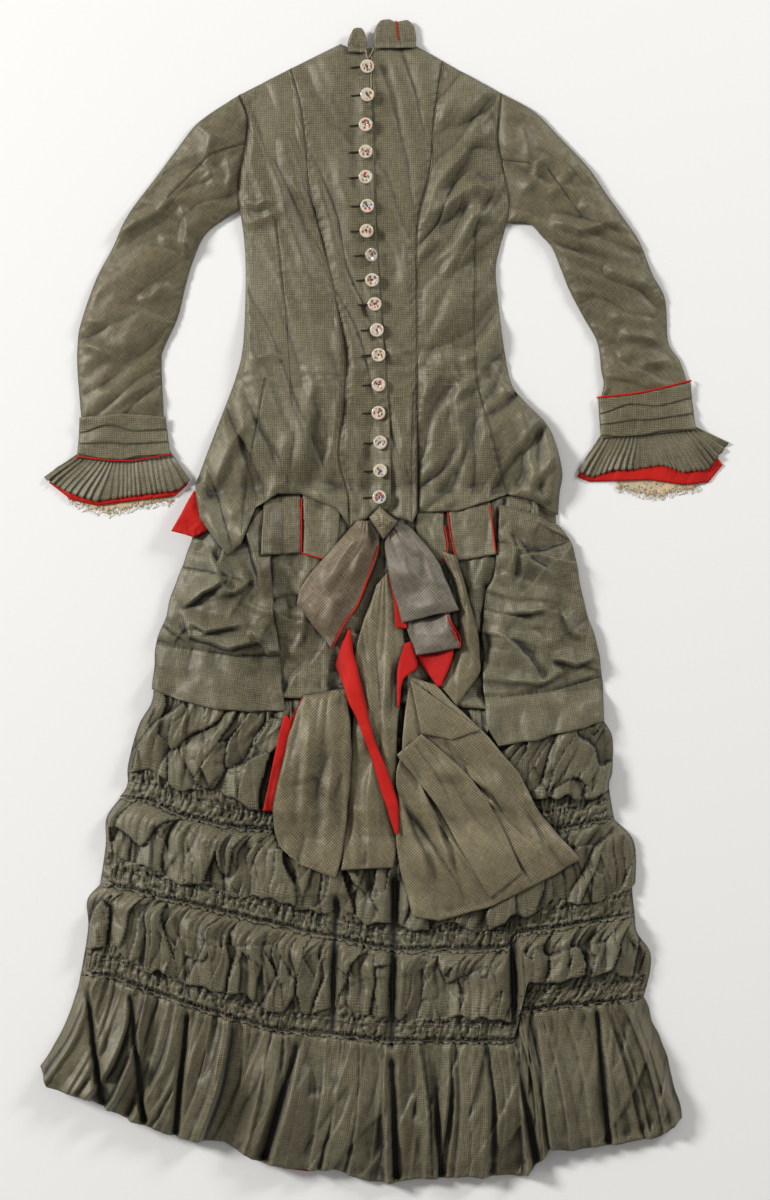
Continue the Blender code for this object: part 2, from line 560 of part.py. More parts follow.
def loose_piece(name, across, length, droop=None):
    cloth = LOOSE_CLOTHS.get(name, "checked_silk" if name in TABS else "bias_silk")
    return Cloth(name, loose_points(name, across, length), TRIM_WALL, cloth, droop=droop)


def sleeve(name, one, other, armhole):
    """The upper sleeve, with points shared with the bodice along the armhole."""
    across, length = narrow_edges(7, 0.06), even(14)
    return Cloth(name, panel(along(one, length), along(other, length),
                             along([one[0], other[0]], across), along(armhole, across)))


def button_mesh():
    """A dished button, turned about its centre."""
    form = bmesh.new()
    corners = [form.verts.new((x * MM, 0.0, z * MM)) for x, z in BUTTON_PROFILE]
    for one, two in zip(corners, corners[1:]):
        form.edges.new((one, two))
    mesh = bpy.data.meshes.new("button")
    form.to_mesh(mesh)
    form.free()
    return mesh


def add_buttons(relief):
    mesh = button_mesh()
    turn = even(2 * BUTTON_SIDES) * 2 * np.pi
    ring = BUTTON_RADIUS * np.stack([np.cos(turn), np.sin(turn)], axis=1)
    for number, centre in enumerate(BUTTONS, 1):
        disc = np.array(centre) + np.concatenate([ring, ring * 0.75, ring * 0.5, ring * 0.2])
        seat = relief.height[relief.place(disc)].max() + SEAM
        button = add_object(f"button_{number:02d}", mesh, "shell")
        button.location = (centre[0] * MM, centre[1] * MM, seat * MM)
        turned = button.modifiers.new("turned", "SCREW")
        turned.steps = turned.render_steps = BUTTON_SIDES
        turned.use_merge_vertices = True
        turned.merge_threshold = 1e-5


def centre_on_box():
    """Puts the origin under the middle of the dress."""
    bpy.context.view_layer.update()
    graph = bpy.context.evaluated_depsgraph_get()
    pieces = list(bpy.data.collections["bustle_dress"].objects)
    corners = np.array([thing.matrix_world @ vert.co for thing in pieces
                        for vert in thing.evaluated_get(graph).data.vertices])
    middle = 0.5 * (corners.min(axis=0) + corners.max(axis=0))
    for thing in pieces:
        thing.location.x -= middle[0]
        thing.location.y -= middle[1]


def build_hidden(relief):
    """The hidden backs, flat underneath."""
    across, length = narrow_edges(8, 0.05), narrow_edges(10, 0.04)
    skirt_top = [BACK_SKIRT_RIGHT[-1], BACK_SKIRT_LEFT[-1]]
    skirt = panel(along(BACK_SKIRT_RIGHT, length), along(BACK_SKIRT_LEFT, length),
                  along(BACK_SKIRT_HEM, across), along(skirt_top, across))
    body_right = [(RIGHT_SIDE[0][0] - 3, HIDDEN_WAIST)] + RIGHT_SIDE[1:] + RIGHT_ARMHOLE[1:]
    body_left = [(LEFT_SIDE[0][0] + 1, HIDDEN_WAIST)] + LEFT_SIDE[1:] + LEFT_ARMHOLE[1:]
    body_top = [RIGHT_ARMHOLE[-1]] + NECK_BACK + [LEFT_ARMHOLE[-1]]
    body = panel(along(body_right, length), along(body_left, length),
                 along([body_right[0], body_left[0]], across), along(body_top, across))
    laid = [hidden_back("back_skirt", "skirt", skirt), hidden_back("back_bodice", "bodice", body)]
    for side, outer, inner, armhole, wrist in (
            ("right", RIGHT_SLEEVE_OUTER, RIGHT_SLEEVE_INNER, RIGHT_ARMHOLE[::-1], RIGHT_CUFF),
            ("left", LEFT_SLEEVE_INNER, LEFT_SLEEVE_OUTER, LEFT_ARMHOLE, LEFT_CUFF)):
        marks, (start, end) = narrow_edges(4, 0.12), wrist["bottom"]
        arm = panel(along([start] + outer, even(9)), along([end] + inner, even(9)),
                    along([start, end], marks), along(armhole, marks))
        laid.append(hidden_back(f"under_sleeve_{side}", "sleeve", arm))
    for xy, high in laid:
        relief.lay(xy, high)


def build_wrists(relief):
    """Lace, scarlet frill and pleated ruffle at each wrist, one on the other."""
    for side, lace_edge, frill_edge, edge, wrist in (
            ("right", RIGHT_LACE_EDGE, RIGHT_FRILL_EDGE, RIGHT_RUFFLE_EDGE, RIGHT_CUFF["bottom"]),
            ("left", LEFT_LACE_EDGE, LEFT_FRILL_EDGE, LEFT_RUFFLE_EDGE, LEFT_CUFF["bottom"])):
        (start_x, start_y), (end_x, end_y) = wrist
        lace_top = [(lace_edge[0][0] + LACE_TAPER, start_y - LACE_DEPTH),
                    (lace_edge[-1][0] - LACE_TAPER, end_y - LACE_DEPTH)]
        frill_top = [(start_x - FRILL_DROP, start_y - FRILL_DROP),
                     (end_x + FRILL_DROP, end_y - FRILL_DROP)]
        lay_down(relief, lace(f"lace_{side}", lace_edge, lace_top))
        lay_down(relief, ruffle(f"red_frill_{side}", frill_edge, frill_top, "scarlet_silk",
                                FRILL_PROFILE))
        tucked = [(start_x, start_y + RUFFLE_TUCK), (end_x, end_y + RUFFLE_TUCK)]
        lay_down(relief, ruffle(f"ruffle_{side}", edge, tucked, "checked_silk", RUFFLE_PROFILE))


def lowered(line):
    """A gathering line moved down to where the tier above laps over the one below."""
    return [(x, y - TIER_LAP) for x, y in line]


def pannier(name):
    """A puffed drapery at the hip."""
    left, right, bottom, top = PANNIERS[name]
    across, length = narrow_edges(8, 0.05), even(10)
    return Cloth(name, panel(along(left, length), along(right, length), along(bottom, across),
                             along(top, across)))


def build_skirt(relief):
    """Flounce, three puffed tiers and front breadth, then the draperies at the hips."""
    lay_down(relief, flounce())
    for number, bottom, top in ((3, GATHER_3, GATHER_2), (2, GATHER_2, GATHER_1), (1, GATHER_1, PUFF_TOP)):
        lay_down(relief, puff_tier(number, RIGHT_TIER_EDGES[number - 1], LEFT_TIER_EDGES[number - 1],
                                   lowered(bottom), top))
    bottom = along(lowered(PUFF_TOP), np.linspace(0.1, 0.9, 9))
    left, right = flat_sides(bottom, FRONT_PANEL_TOP, 8)
    lay_down(relief, Cloth("front_panel", panel(left, right, bottom, along(FRONT_PANEL_TOP, even(8)))))
    lay_down(relief, pannier("pannier_right"), pannier("pannier_left"))


def build_bodice(relief):
    """Fronts, sleeves, collar and cuffs; the right front laps over the left."""
    side_rows, arm_rows = even(13), narrow_edges(7, 0.06)
    narrow, few = narrow_edges(9, 0.04), even(4)
    right_edge = np.concatenate([along(RIGHT_SIDE, side_rows), along(RIGHT_ARMHOLE, 1 - arm_rows[::-1])[1:]])
    left_edge = np.concatenate([along(LEFT_SIDE, side_rows), along(LEFT_ARMHOLE, arm_rows)[1:]])
    length = even(len(right_edge) - 1)
    right_princess, left_princess = along(RIGHT_PRINCESS, length), along(LEFT_PRINCESS, length)
    side_left = panel(left_princess, left_edge, along(LEFT_SIDE_HEM, narrow),
                      along([LEFT_PRINCESS[-1], LEFT_ARMHOLE[-1]], narrow))
    front_left = panel(along(LEFT_FRONT_EDGE, length), left_princess,
                       along(FRONT_LEFT_HEM, few), along(SHOULDER_LEFT, few))
    lay_down(relief, Cloth("side_front_left", side_left), Cloth("front_left", front_left),
             sleeve("sleeve_left", LEFT_SLEEVE_INNER, LEFT_SLEEVE_OUTER, LEFT_ARMHOLE))
    side_right = panel(right_edge, right_princess, along(RIGHT_SIDE_HEM, narrow),
                       along([RIGHT_ARMHOLE[-1], RIGHT_PRINCESS[-1]], narrow))
    front_right = panel(right_princess, along(RIGHT_FRONT_EDGE, length),
                        along([RIGHT_PRINCESS[0], RIGHT_FRONT_EDGE[0]], few), along(SHOULDER_RIGHT, few))
    lay_down(relief, Cloth("side_front_right", side_right), Cloth("front_right", front_right),
             sleeve("sleeve_right", RIGHT_SLEEVE_OUTER, RIGHT_SLEEVE_INNER, RIGHT_ARMHOLE[::-1]))
    collars = []
    for name, (foot, head) in COLLARS.items():
        left, right = flat_sides(foot, head, 4)
        collars.append(Cloth(name, panel(left, right, along(foot, even(5)), along(head, even(5))),
                             COLLAR_WALL, droop=COLLAR_DROOP))
    lay_down(relief, *collars, cuff("cuff_right", RIGHT_CUFF), cuff("cuff_left", LEFT_CUFF))


def knot(relief):
    """The domed knot that gathers the bow."""
    piece = Cloth("bow_knot", loose_points("bow_knot", 5, 5), KNOT_EDGE, "bias_silk", droop=0.0)
    piece.drape(relief)
    arch = np.sin(np.pi * even(5))
    piece.high = piece.low + KNOT_EDGE + KNOT_CROWN * arch[:, None] * arch[None, :]
    piece.build(relief)


def build_bow(relief):
    """Sash tails, scarlet facings, loops and knot, from the lowest up."""
    lay_down(relief, loose_piece("sash_tail_centre", 4, 9), loose_piece("bow_back_loop", 2, 7))
    lay_down(relief, loose_piece("sash_tail_right", 5, 9), loose_piece("sash_tail_left", 7, 9),
             loose_piece("bow_red_flap", 2, 3))
    lay_down(relief, loose_piece("red_ribbon_right", 1, 9), loose_piece("red_ribbon_left", 2, 4),
             loose_piece("bow_under_loop", 4, 4))
    lay_down(relief, loose_piece("bow_loop_right", 5, 7), loose_piece("bow_loop_left", 5, 7))
    knot(relief)


def main():
    for thing in list(bpy.data.objects):
        bpy.data.objects.remove(thing, do_unlink=True)
    group = bpy.data.collections.new("bustle_dress")
    bpy.context.scene.collection.children.link(group)
    relief = Relief()
    build_hidden(relief)
    build_wrists(relief)
    build_skirt(relief)
    lay_down(relief, *[loose_piece(name, 2, 4) for name in TABS],
             loose_piece("sash_tip", 3, 3, TIP_DROOP))
    build_bodice(relief)
    build_bow(relief)
    add_buttons(relief)
    centre_on_box()


main()
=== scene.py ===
"""The looks of a bustle dress laid flat: checked taffeta, shirred puffs, scarlet facings.

Tables are millimetres in the plane that the dress lies on: X to the wearer's left, Y to the neck.
"Right" and "left" are the wearer's. Every cloth is a thin shell laid on what is under it.
"""

import math

import bmesh
import bpy
import numpy as np
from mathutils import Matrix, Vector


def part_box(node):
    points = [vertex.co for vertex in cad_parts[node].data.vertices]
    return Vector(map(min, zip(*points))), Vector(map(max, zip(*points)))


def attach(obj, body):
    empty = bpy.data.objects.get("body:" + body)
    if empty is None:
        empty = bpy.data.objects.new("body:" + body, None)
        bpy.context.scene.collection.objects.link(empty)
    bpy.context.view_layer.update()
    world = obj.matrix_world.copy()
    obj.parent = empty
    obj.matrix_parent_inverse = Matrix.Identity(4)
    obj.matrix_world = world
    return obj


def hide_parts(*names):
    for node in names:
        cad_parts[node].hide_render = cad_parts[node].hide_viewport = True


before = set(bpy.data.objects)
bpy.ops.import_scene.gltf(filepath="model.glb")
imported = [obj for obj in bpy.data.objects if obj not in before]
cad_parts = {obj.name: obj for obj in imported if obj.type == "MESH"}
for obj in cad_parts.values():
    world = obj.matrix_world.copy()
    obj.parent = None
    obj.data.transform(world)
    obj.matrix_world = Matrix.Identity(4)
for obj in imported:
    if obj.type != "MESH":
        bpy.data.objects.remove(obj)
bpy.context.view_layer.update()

MM = 0.001
FIRST_BUTTON = np.array([-22.0, 665.0])
button_low, button_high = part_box("button_01")
SHIFT = np.array([0.5 * (button_low.x + button_high.x), 0.5 * (button_low.y + button_high.y)])
SHIFT -= FIRST_BUTTON * MM

STEP = 1.5                       # raster on which the height of the pile is kept
REACH = np.array([470.0, 770.0])
SILK = 0.7                       # thickness of one layer of silk
AIR = 0.3                        # gap below each cloth
CHECK_PITCH = 2.7                # one repeat of the check
RIM_ONLY = 7000                  # a cloth of more points has its wall at its rim only: its inside never shows

# Bodice outlines from the hem to the neck
RIGHT_SIDE = [(-230, 102), (-236, 141), (-231, 160), (-209, 218), (-186, 280), (-177, 322),
              (-174, 402), (-176, 451), (-181, 488)]
RIGHT_ARMHOLE = [(-181, 488), (-184, 526), (-174, 565), (-171, 604), (-182, 632)]
RIGHT_PRINCESS = [(-44, 92), (-46, 131), (-58, 179), (-52, 236), (-49, 304), (-62, 379),
                  (-79, 450), (-94, 508), (-99, 565), (-105, 614), (-118, 665)]
RIGHT_FRONT_EDGE = [(0, 111), (7, 125), (7, 179), (5, 236), (1, 289), (-6, 379), (-12, 493),
                    (-14, 579), (-18, 656), (-24, 688)]
LEFT_FRONT_EDGE = [(-9, 112), (-6, 179), (-12, 289), (-20, 379), (-27, 493), (-28, 579),
                   (-26, 650), (-12, 694)]
LEFT_PRINCESS = [(40, 110), (40, 218), (40, 351), (40, 464), (56, 536), (61, 600), (72, 674)]
LEFT_SIDE = [(216, 107), (218, 135), (221, 164), (206, 214), (179, 244), (159, 269),
             (149, 314), (141, 379), (139, 421), (152, 472)]
LEFT_ARMHOLE = [(152, 472), (155, 499), (145, 551), (140, 579), (145, 634)]
RIGHT_SIDE_HEM = [(-230, 102), (-206, 70), (-194, 56), (-178, 70), (-161, 116), (-134, 133),
                  (-104, 133), (-59, 114), (-44, 92)]
LEFT_SIDE_HEM = [(40, 110), (91, 112), (128, 124), (153, 133), (185, 125), (216, 107)]
FRONT_LEFT_HEM = [(-9, 112), (34, 97), (40, 110)]
SHOULDER_RIGHT = [(-118, 665), (-55, 696), (-45, 689), (-24, 688)]
SHOULDER_LEFT = [(-12, 694), (36, 696), (41, 692), (72, 674)]
NECK_BACK = [(-55, 696), (41, 692)]
COLLARS = {
    "collar_right": ([(-46, 684), (-24, 683)], [(-43, 707), (-38, 714), (-29, 714), (-24, 706)]),
    "collar_left": ([(-12, 689), (38, 690)],
                    [(-13, 713), (-6, 724), (5, 726), (14, 723), (28, 725), (36, 718)]),
}

# Sleeves from the wrist to the shoulder
RIGHT_SLEEVE_OUTER = [(-379, 224), (-384, 286), (-384, 319), (-380, 346), (-361, 401),
                      (-341, 439), (-319, 484), (-285, 530), (-259, 565), (-231, 599), (-182, 632)]
RIGHT_SLEEVE_INNER = [(-276, 225), (-279, 295), (-276, 315), (-259, 353), (-249, 393),
                      (-239, 426), (-225, 456), (-204, 474), (-181, 488)]
LEFT_SLEEVE_INNER = [(268, 249), (273, 270), (270, 288), (265, 323), (248, 354), (231, 386),
                     (219, 416), (209, 440), (195, 456), (179, 471), (152, 472)]
LEFT_SLEEVE_OUTER = [(379, 269), (368, 300), (354, 323), (350, 376), (334, 408), (318, 448),
                     (298, 478), (276, 509), (254, 541), (219, 578), (186, 611), (145, 634)]
CUFFS = {
    "right": {"top": [(-381, 229), (-330, 234), (-274, 230)],
              "bottom": [(-384, 180), (-325, 176), (-268, 183)]},
    "left": {"top": [(266, 253), (320, 259), (381, 274)],
             "bottom": [(269, 203), (330, 208), (388, 214)]},
}
RUFFLE_EDGES = {
    "right": [(-426, 155), (-393, 134), (-359, 126), (-332, 129), (-298, 134), (-259, 139), (-243, 151)],
    "left": [(241, 163), (258, 156), (283, 163), (346, 170), (372, 161), (403, 165), (430, 198)],
}
FRILL_EDGES = {
    "right": [(-420, 148), (-393, 127), (-359, 119), (-298, 127), (-262, 131), (-246, 146)],
    "left": [(240, 155), (254, 149), (330, 151), (372, 145), (404, 148), (422, 170)],
}
LACE_EDGES = {
    "right": [(-397, 126), (-370, 114), (-340, 108), (-310, 117), (-264, 124)],
    "left": [(288, 141), (315, 134), (339, 128), (366, 136), (394, 140)],
}
PLEATS = {"right": 25, "left": 28}

# Gathering lines of the skirt, from the wearer's right to the left
PUFF_TOP = [(-289, -92), (-125, -116), (0, -122), (150, -132), (270, -122)]
GATHER_1 = [(-331, -246), (-295, -250), (-250, -270), (-182, -284), (0, -295), (140, -293),
            (219, -286), (286, -272)]
GATHER_2 = [(-356, -354), (-299, -365), (-214, -386), (-106, -411), (12, -436), (152, -434),
            (164, -415), (209, -409), (312, -391)]
GATHER_3 = [(-380, -466), (-344, -469), (-244, -504), (-141, -535), (12, -549), (160, -550),
            (168, -511), (323, -496)]
HEM = [(-431, -581), (-420, -606), (-364, -623), (-333, -638), (-300, -651), (-257, -670),
       (-200, -674), (-164, -696), (-117, -706), (-55, -711), (-19, -725), (9, -724),
       (40, -720), (144, -716), (180, -715), (205, -684), (291, -678), (344, -666), (372, -645)]
RIGHT_TIER_EDGES = (
    [(-331, -246), (-322, -229), (-321, -204), (-308, -156), (-291, -125), (-289, -92)],
    [(-356, -354), (-349, -304), (-348, -271), (-331, -246)],
    [(-380, -466), (-371, -409), (-372, -374), (-356, -354)],
)
LEFT_TIER_EDGES = (
    [(286, -272), (280, -231), (284, -213), (284, -170), (272, -146), (270, -122)],
    [(312, -391), (309, -359), (313, -349), (311, -301), (286, -272)],
    [(323, -496), (331, -464), (331, -438), (315, -414), (312, -391)],
)
RIGHT_FLOUNCE_EDGE = [(-431, -581), (-403, -535), (-386, -488), (-380, -466)]
LEFT_FLOUNCE_EDGE = [(372, -645), (359, -594), (344, -545), (323, -496)]
FRONT_PANEL_TOP = [(-205, 132), (190, 132)]
PANNIERS = {
    "pannier_right": ([(-291, -110), (-286, -54), (-274, -20), (-266, 10), (-243, 71), (-236, 118)],
                      [(-125, -136), (-129, -78), (-137, -20), (-141, 55), (-142, 126)],
                      [(-291, -110), (-258, -122), (-210, -134), (-167, -138), (-125, -136)],
                      [(-236, 118), (-142, 126)]),
    "pannier_left": ([(140, -181), (124, -139), (123, -5), (136, 35), (142, 122)],
                     [(273, -148), (270, -85), (261, -45), (247, 6), (233, 72), (216, 96)],
                     [(140, -181), (194, -171), (247, -157), (273, -148)],
                     [(142, 122), (216, 96)]),
}
BACK_SKIRT_RIGHT = [(-414, -588), (-378, -490), (-352, -370), (-325, -262), (-300, -160),
                    (-286, -95), (-262, 0), (-236, 80), (-231, 138)]
BACK_SKIRT_LEFT = [(358, -634), (322, -510), (308, -400), (290, -290), (270, -190), (268, -100),
                   (240, 10), (218, 80), (213, 138)]
BACK_SKIRT_HEM = [(-414, -588), (-333, -624), (-244, -658), (-117, -692), (0, -706),
                  (144, -702), (190, -680), (250, -668), (358, -634)]
# Hidden backs: height at the edge, height inside, and the width of the rise between them
HIDDEN_FORMS = {"skirt": (4.0, 19.0, 110.0), "bodice": (3.0, 13.0, 70.0), "sleeve": (3.0, 11.0, 45.0)}
HIDDEN_INSET = 5.0
HIDDEN_LAYERS = 4

# Small pieces that lie free: right and left sides from the bottom to the top
LOOSE_PIECES = {
    "sash_tip": ([(-266, 86), (-237, 138)], [(-238, 79), (-212, 92)]),
    "tab_right_outer": ([(-153, 57), (-151, 112), (-150, 146)], [(-104, 60), (-104, 146)]),
    "tab_right_inner": ([(-102, 58), (-102, 140)], [(-62, 48), (-54, 128)]),
    "tab_left_outer": ([(89, 49), (82, 80), (78, 122)], [(137, 58), (130, 132)]),
    "tab_left_inner": ([(40, 62), (38, 118)], [(70, 47), (78, 66), (73, 94), (75, 122)]),
    "sash_tail_centre": ([(-55, -333), (-41, -163), (-40, -110), (-34, -51), (-10, 20)],
                         [(10, -331), (15, -295), (14, -200), (20, -110), (24, -33), (8, 40)]),
    "bow_back_loop": ([(69, -106), (84, -69), (92, -30), (85, 20), (70, 62)],
                      [(89, -130), (117, -91), (118, -69), (115, -40), (105, 0), (90, 56)]),
    "sash_tail_right": ([(-109, -318), (-127, -307), (-138, -278), (-135, -235), (-114, -149),
                         (-101, -117)],
                        [(-61, -344), (-52, -307), (-43, -221), (-42, -163), (-46, -108)]),
    "sash_tail_left": ([(34, -390), (20, -336), (14, -295), (17, -250), (14, -215), (20, -186),
                        (24, -146), (31, -92)],
                       [(243, -321), (192, -261), (163, -209), (120, -161), (62, -104)]),
    "bow_red_flap": ([(65, -106), (40, -69), (38, -40)], [(70, -105), (84, -67), (84, -40)]),
    "red_ribbon_right": ([(13, -290), (-9, -221), (-26, -169), (-57, -92), (-60, -74), (-48, -34)],
                         [(17, -286), (15, -246), (4, -212), (-12, -172), (-34, -84), (-43, -36)]),
    "red_ribbon_left": ([(15, -132), (15, -100), (17, -78), (24, -52)],
                        [(18, -131), (23, -98), (40, -82), (33, -50)]),
    "bow_under_loop": ([(39, -67), (26, -26), (30, 24)], [(94, -58), (82, -21), (74, 24)]),
    "bow_loop_right": ([(-110, -3), (-99, 27), (-34, 100)],
                       [(-67, -59), (-49, -26), (-32, 0), (-15, 40), (-7, 69), (-14, 98)]),
    "bow_loop_left": ([(21, -27), (16, -9), (5, 32), (-1, 67), (2, 80)],
                      [(92, -11), (76, 25), (67, 48), (47, 75), (31, 92), (14, 98)]),
    "bow_knot": ([(-3, 76), (-20, 104)], [(16, 99), (-7, 117)]),
}
LOOSE_HEMS = {
    "sash_tail_right": [(-109, -318), (-104, -327), (-61, -344)],
    "sash_tail_left": [(34, -390), (68, -397), (137, -376), (243, -321)],
}
TUBE_SIDES = 6        # of piping and thread
BUTTONS = [(-22, 665), (-22, 629), (-24, 592), (-24, 559), (-24, 527), (-22, 491), (-23, 460),
           (-18, 430), (-16, 399), (-13, 369), (-10, 337), (-8, 306), (-8, 269), (-8, 234),
           (-6, 197), (-6, 162), (-7, 129)]

# Folded layers of the left tail: left and right edges from the bottom to the top
TAIL_LAYERS = [([(130, -368), (94, -307), (62, -250), (14, -190)],
                [(170, -336), (140, -270), (100, -212), (45, -164)]),
               ([(45, -164), (31, -97)], [(83, -172), (118, -160)])]

# Folds of each cloth: the points that one follows, its height, its width to the left and the right
FOLDS = {
    "side_front_right": [
        ([(-220, 131), (-196, 180), (-166, 244)], 8, 16, 8),
        ([(-103, 135), (-90, 271), (-107, 296)], 7, 22, 6),
        ([(-130, 120), (-120, 190), (-100, 250)], 4, 10, 14),
        ([(-145, 565), (-134, 532), (-119, 472), (-101, 422), (-80, 362)], 5, 12, 7),
        ([(-123, 540), (-99, 486), (-85, 442), (-74, 402)], 5, 9, 7),
        ([(-173, 627), (-143, 599), (-119, 571)], -5, 14, 9),
        ([(-178, 500), (-160, 492), (-140, 505)], 4, 6, 6),
        ([(-176, 470), (-150, 478), (-128, 490)], 3, 5, 6),
        ([(-186, 92), (-181, 130), (-178, 190)], 4, 10, 6),
        ([(-72, 140), (-66, 200), (-58, 262)], 3, 8, 10),
        ([(-174, 300), (-140, 308), (-112, 300)], 2.5, 5, 7),
    ],
    "front_right": [
        ([(-60, 600), (-52, 520), (-30, 440)], 2.5, 12, 10),
        ([(-88, 540), (-66, 470), (-40, 400)], 3, 10, 8),
        ([(-44, 230), (-36, 170), (-40, 110)], 3, 8, 12),
        ([(-20, 292), (-30, 286), (-46, 290)], 1.8, 5, 5),
    ],
    "front_left": [
        ([(-9, 466), (4, 430), (15, 394)], -4, 9, 12),
        ([(24, 470), (26, 420), (30, 370)], 3, 10, 8),
        ([(-2, 300), (10, 309), (34, 316)], 2.2, 4, 6),
        ([(14, 250), (20, 190), (14, 130)], 3, 7, 12),
        ([(30, 255), (34, 190), (30, 130)], 2, 4, 5),
    ],
    "side_front_left": [
        ([(144, 506), (117, 520), (71, 492), (46, 470)], 11, 15, 9),
        ([(111, 500), (85, 474), (59, 448)], -5, 7, 9),
        ([(138, 490), (111, 478), (101, 456), (71, 400)], 9, 9, 11),
        ([(150, 530), (120, 556), (90, 566)], -5, 12, 10),
        ([(132, 560), (116, 600), (96, 640)], 4, 12, 10),
        ([(60, 330), (76, 296), (92, 262), (88, 215)], 5, 10, 7),
        ([(100, 320), (104, 280), (92, 250)], 4, 10, 8),
        ([(84, 262), (96, 200), (92, 130)], 5, 9, 6),
        ([(118, 290), (126, 240), (118, 180)], 4, 8, 9),
        ([(164, 262), (182, 200), (188, 130)], 6, 14, 16),
        ([(130, 300), (150, 262), (180, 250)], 4, 8, 8),
        ([(196, 232), (206, 190), (204, 140)], 4, 8, 10),
    ],
    "sleeve_right": [
        ([(-352, 452), (-303, 476), (-257, 504), (-223, 504)], 7, 18, 8),
        ([(-254, 500), (-247, 460), (-251, 420)], 6, 12, 6),
        ([(-215, 590), (-222, 540), (-200, 500)], 4, 9, 8),
        ([(-200, 560), (-190, 530), (-198, 500)], 4, 6, 6),
        ([(-310, 372), (-290, 381), (-268, 400)], 5, 6, 10),
        ([(-382, 322), (-356, 312), (-330, 298)], 5, 7, 8),
        ([(-382, 352), (-350, 346), (-326, 330)], 3, 8, 8),
        ([(-240, 600), (-222, 585), (-200, 575)], 3, 6, 7),
        ([(-330, 300), (-318, 340), (-290, 370)], 4, 14, 12),
        ([(-376, 262), (-330, 258), (-290, 268)], 2.5, 8, 10),
        ([(-285, 450), (-262, 452), (-236, 440)], 4, 7, 9),
    ],
    "sleeve_left": [
        ([(200, 474), (240, 462), (270, 470), (300, 478)], 8, 12, 7),
        ([(196, 560), (186, 530), (168, 500)], 5, 8, 8),
        ([(232, 548), (220, 520), (200, 500)], 4, 9, 9),
        ([(268, 420), (300, 400), (338, 392)], 6, 10, 12),
        ([(290, 335), (318, 330), (352, 322)], 6, 8, 6),
        ([(276, 352), (310, 360), (346, 344)], 4, 10, 10),
        ([(280, 300), (310, 310), (350, 290)], 4, 12, 10),
        ([(170, 600), (180, 560), (172, 530)], 4, 7, 7),
        ([(300, 282), (330, 296), (360, 300)], 3, 8, 8),
        ([(240, 500), (262, 486), (286, 490)], 4, 8, 8),
    ],
    "front_panel": [
        ([(-150, -8), (-105, -20), (-80, -24)], 5, 12, 8), ([(-150, -70), (-90, -62)], 4, 10, 8),
        ([(75, 40), (88, -60)], 5, 9, 12), ([(-118, 40), (-100, 0), (-104, -60)], 5, 10, 8),
        ([(-90, 50), (-70, 10), (-66, -60)], 4, 9, 9), ([(104, 40), (112, -20), (110, -100)], 5, 8, 8),
    ],
    "pannier_right": [
        ([(-256, -8), (-225, 12), (-186, 34)], 9, 14, 3),
        ([(-248, -24), (-221, -36), (-172, -27)], 7, 11, 2.5),
        ([(-254, -8), (-242, -42), (-190, -58), (-138, -46)], 8, 18, 2.5),
        ([(-172, -32), (-150, -54), (-138, -84)], 6, 10, 3), ([(-222, 70), (-206, 30), (-192, -4)], 6, 4, 14),
        ([(-180, 104), (-162, 60), (-148, 4)], 8, 12, 3),
        ([(-280, -20), (-262, -36), (-236, -54)], 5, 8, 2.5),
        ([(-206, 96), (-200, 66), (-212, 34)], 5, 8, 3), ([(-160, 30), (-186, 12), (-214, 8)], 5, 3, 12),
    ],
    "pannier_left": [
        ([(134, -34), (176, -70), (200, -106)], 8, 3, 14), ([(146, -12), (176, -14), (208, -8)], 6, 12, 2.5),
        ([(204, -70), (238, -80), (266, -66)], 7, 12, 2.5), ([(126, 60), (122, -20), (120, -100)], -6, 8, 5),
        ([(158, 84), (178, 50), (216, 30)], 7, 3, 14), ([(160, 54), (200, 61), (240, 74)], 5, 2, 30),
        ([(150, 96), (160, 60), (156, 16)], 6, 3, 10), ([(146, -96), (190, -104), (232, -84)], 5, 9, 2.5),
        ([(222, -10), (232, -36), (250, -52)], 5, 9, 2.5),
    ],
    "sash_tail_left": [
        ([(54, -200), (127, -229), (161, -265)], 5, 11, 3), ([(89, -227), (147, -260)], 4, 8, 3),
        ([(15, -241), (46, -313), (65, -361)], 6, 3, 12), ([(41, -217), (65, -277), (94, -361)], 6, 3, 12),
        ([(171, -227), (209, -313)], 4, 10, 4), ([(120, -200), (165, -262), (196, -320)], 3, 12, 6),
    ],
    "sash_tail_right": [
        ([(-90, -130), (-100, -220), (-96, -320)], 5, 12, 9),
        ([(-60, -120), (-66, -220), (-76, -330)], 4, 10, 8),
        ([(-120, -180), (-126, -240), (-120, -300)], 5, 9, 12),
    ],
    "sash_tail_centre": [
        ([(-28, -60), (-20, -130), (-30, -200)], 5, 9, 9),
        ([(-15, -200), (-22, -260), (-20, -326)], 4, 12, 9),
        ([(4, -60), (-4, -130), (2, -190)], 4, 8, 8),
    ],
    "bow_loop_right": [([(-30, 92), (-56, 50), (-72, 10)], 6, 16, 9),
                       ([(-60, 15), (-66, -20), (-70, -45)], 4, 9, 12),
                       ([(-20, 96), (-30, 60), (-44, 20)], 4, 6, 8)],
    "bow_loop_left": [([(12, 92), (26, 50), (40, 10)], 6, 12, 16),
                      ([(24, 92), (54, 50), (72, 0)], 4, 10, 10)],
    "bow_under_loop": [([(70, 15), (76, -20), (80, -55)], 4, 7, 7)],
    "bow_back_loop": [([(90, 40), (100, -20), (104, -80)], 4, 7, 7)],
    "tab_left_inner": [([(66, 118), (62, 90), (66, 60)], 3, 7, 4)],
}
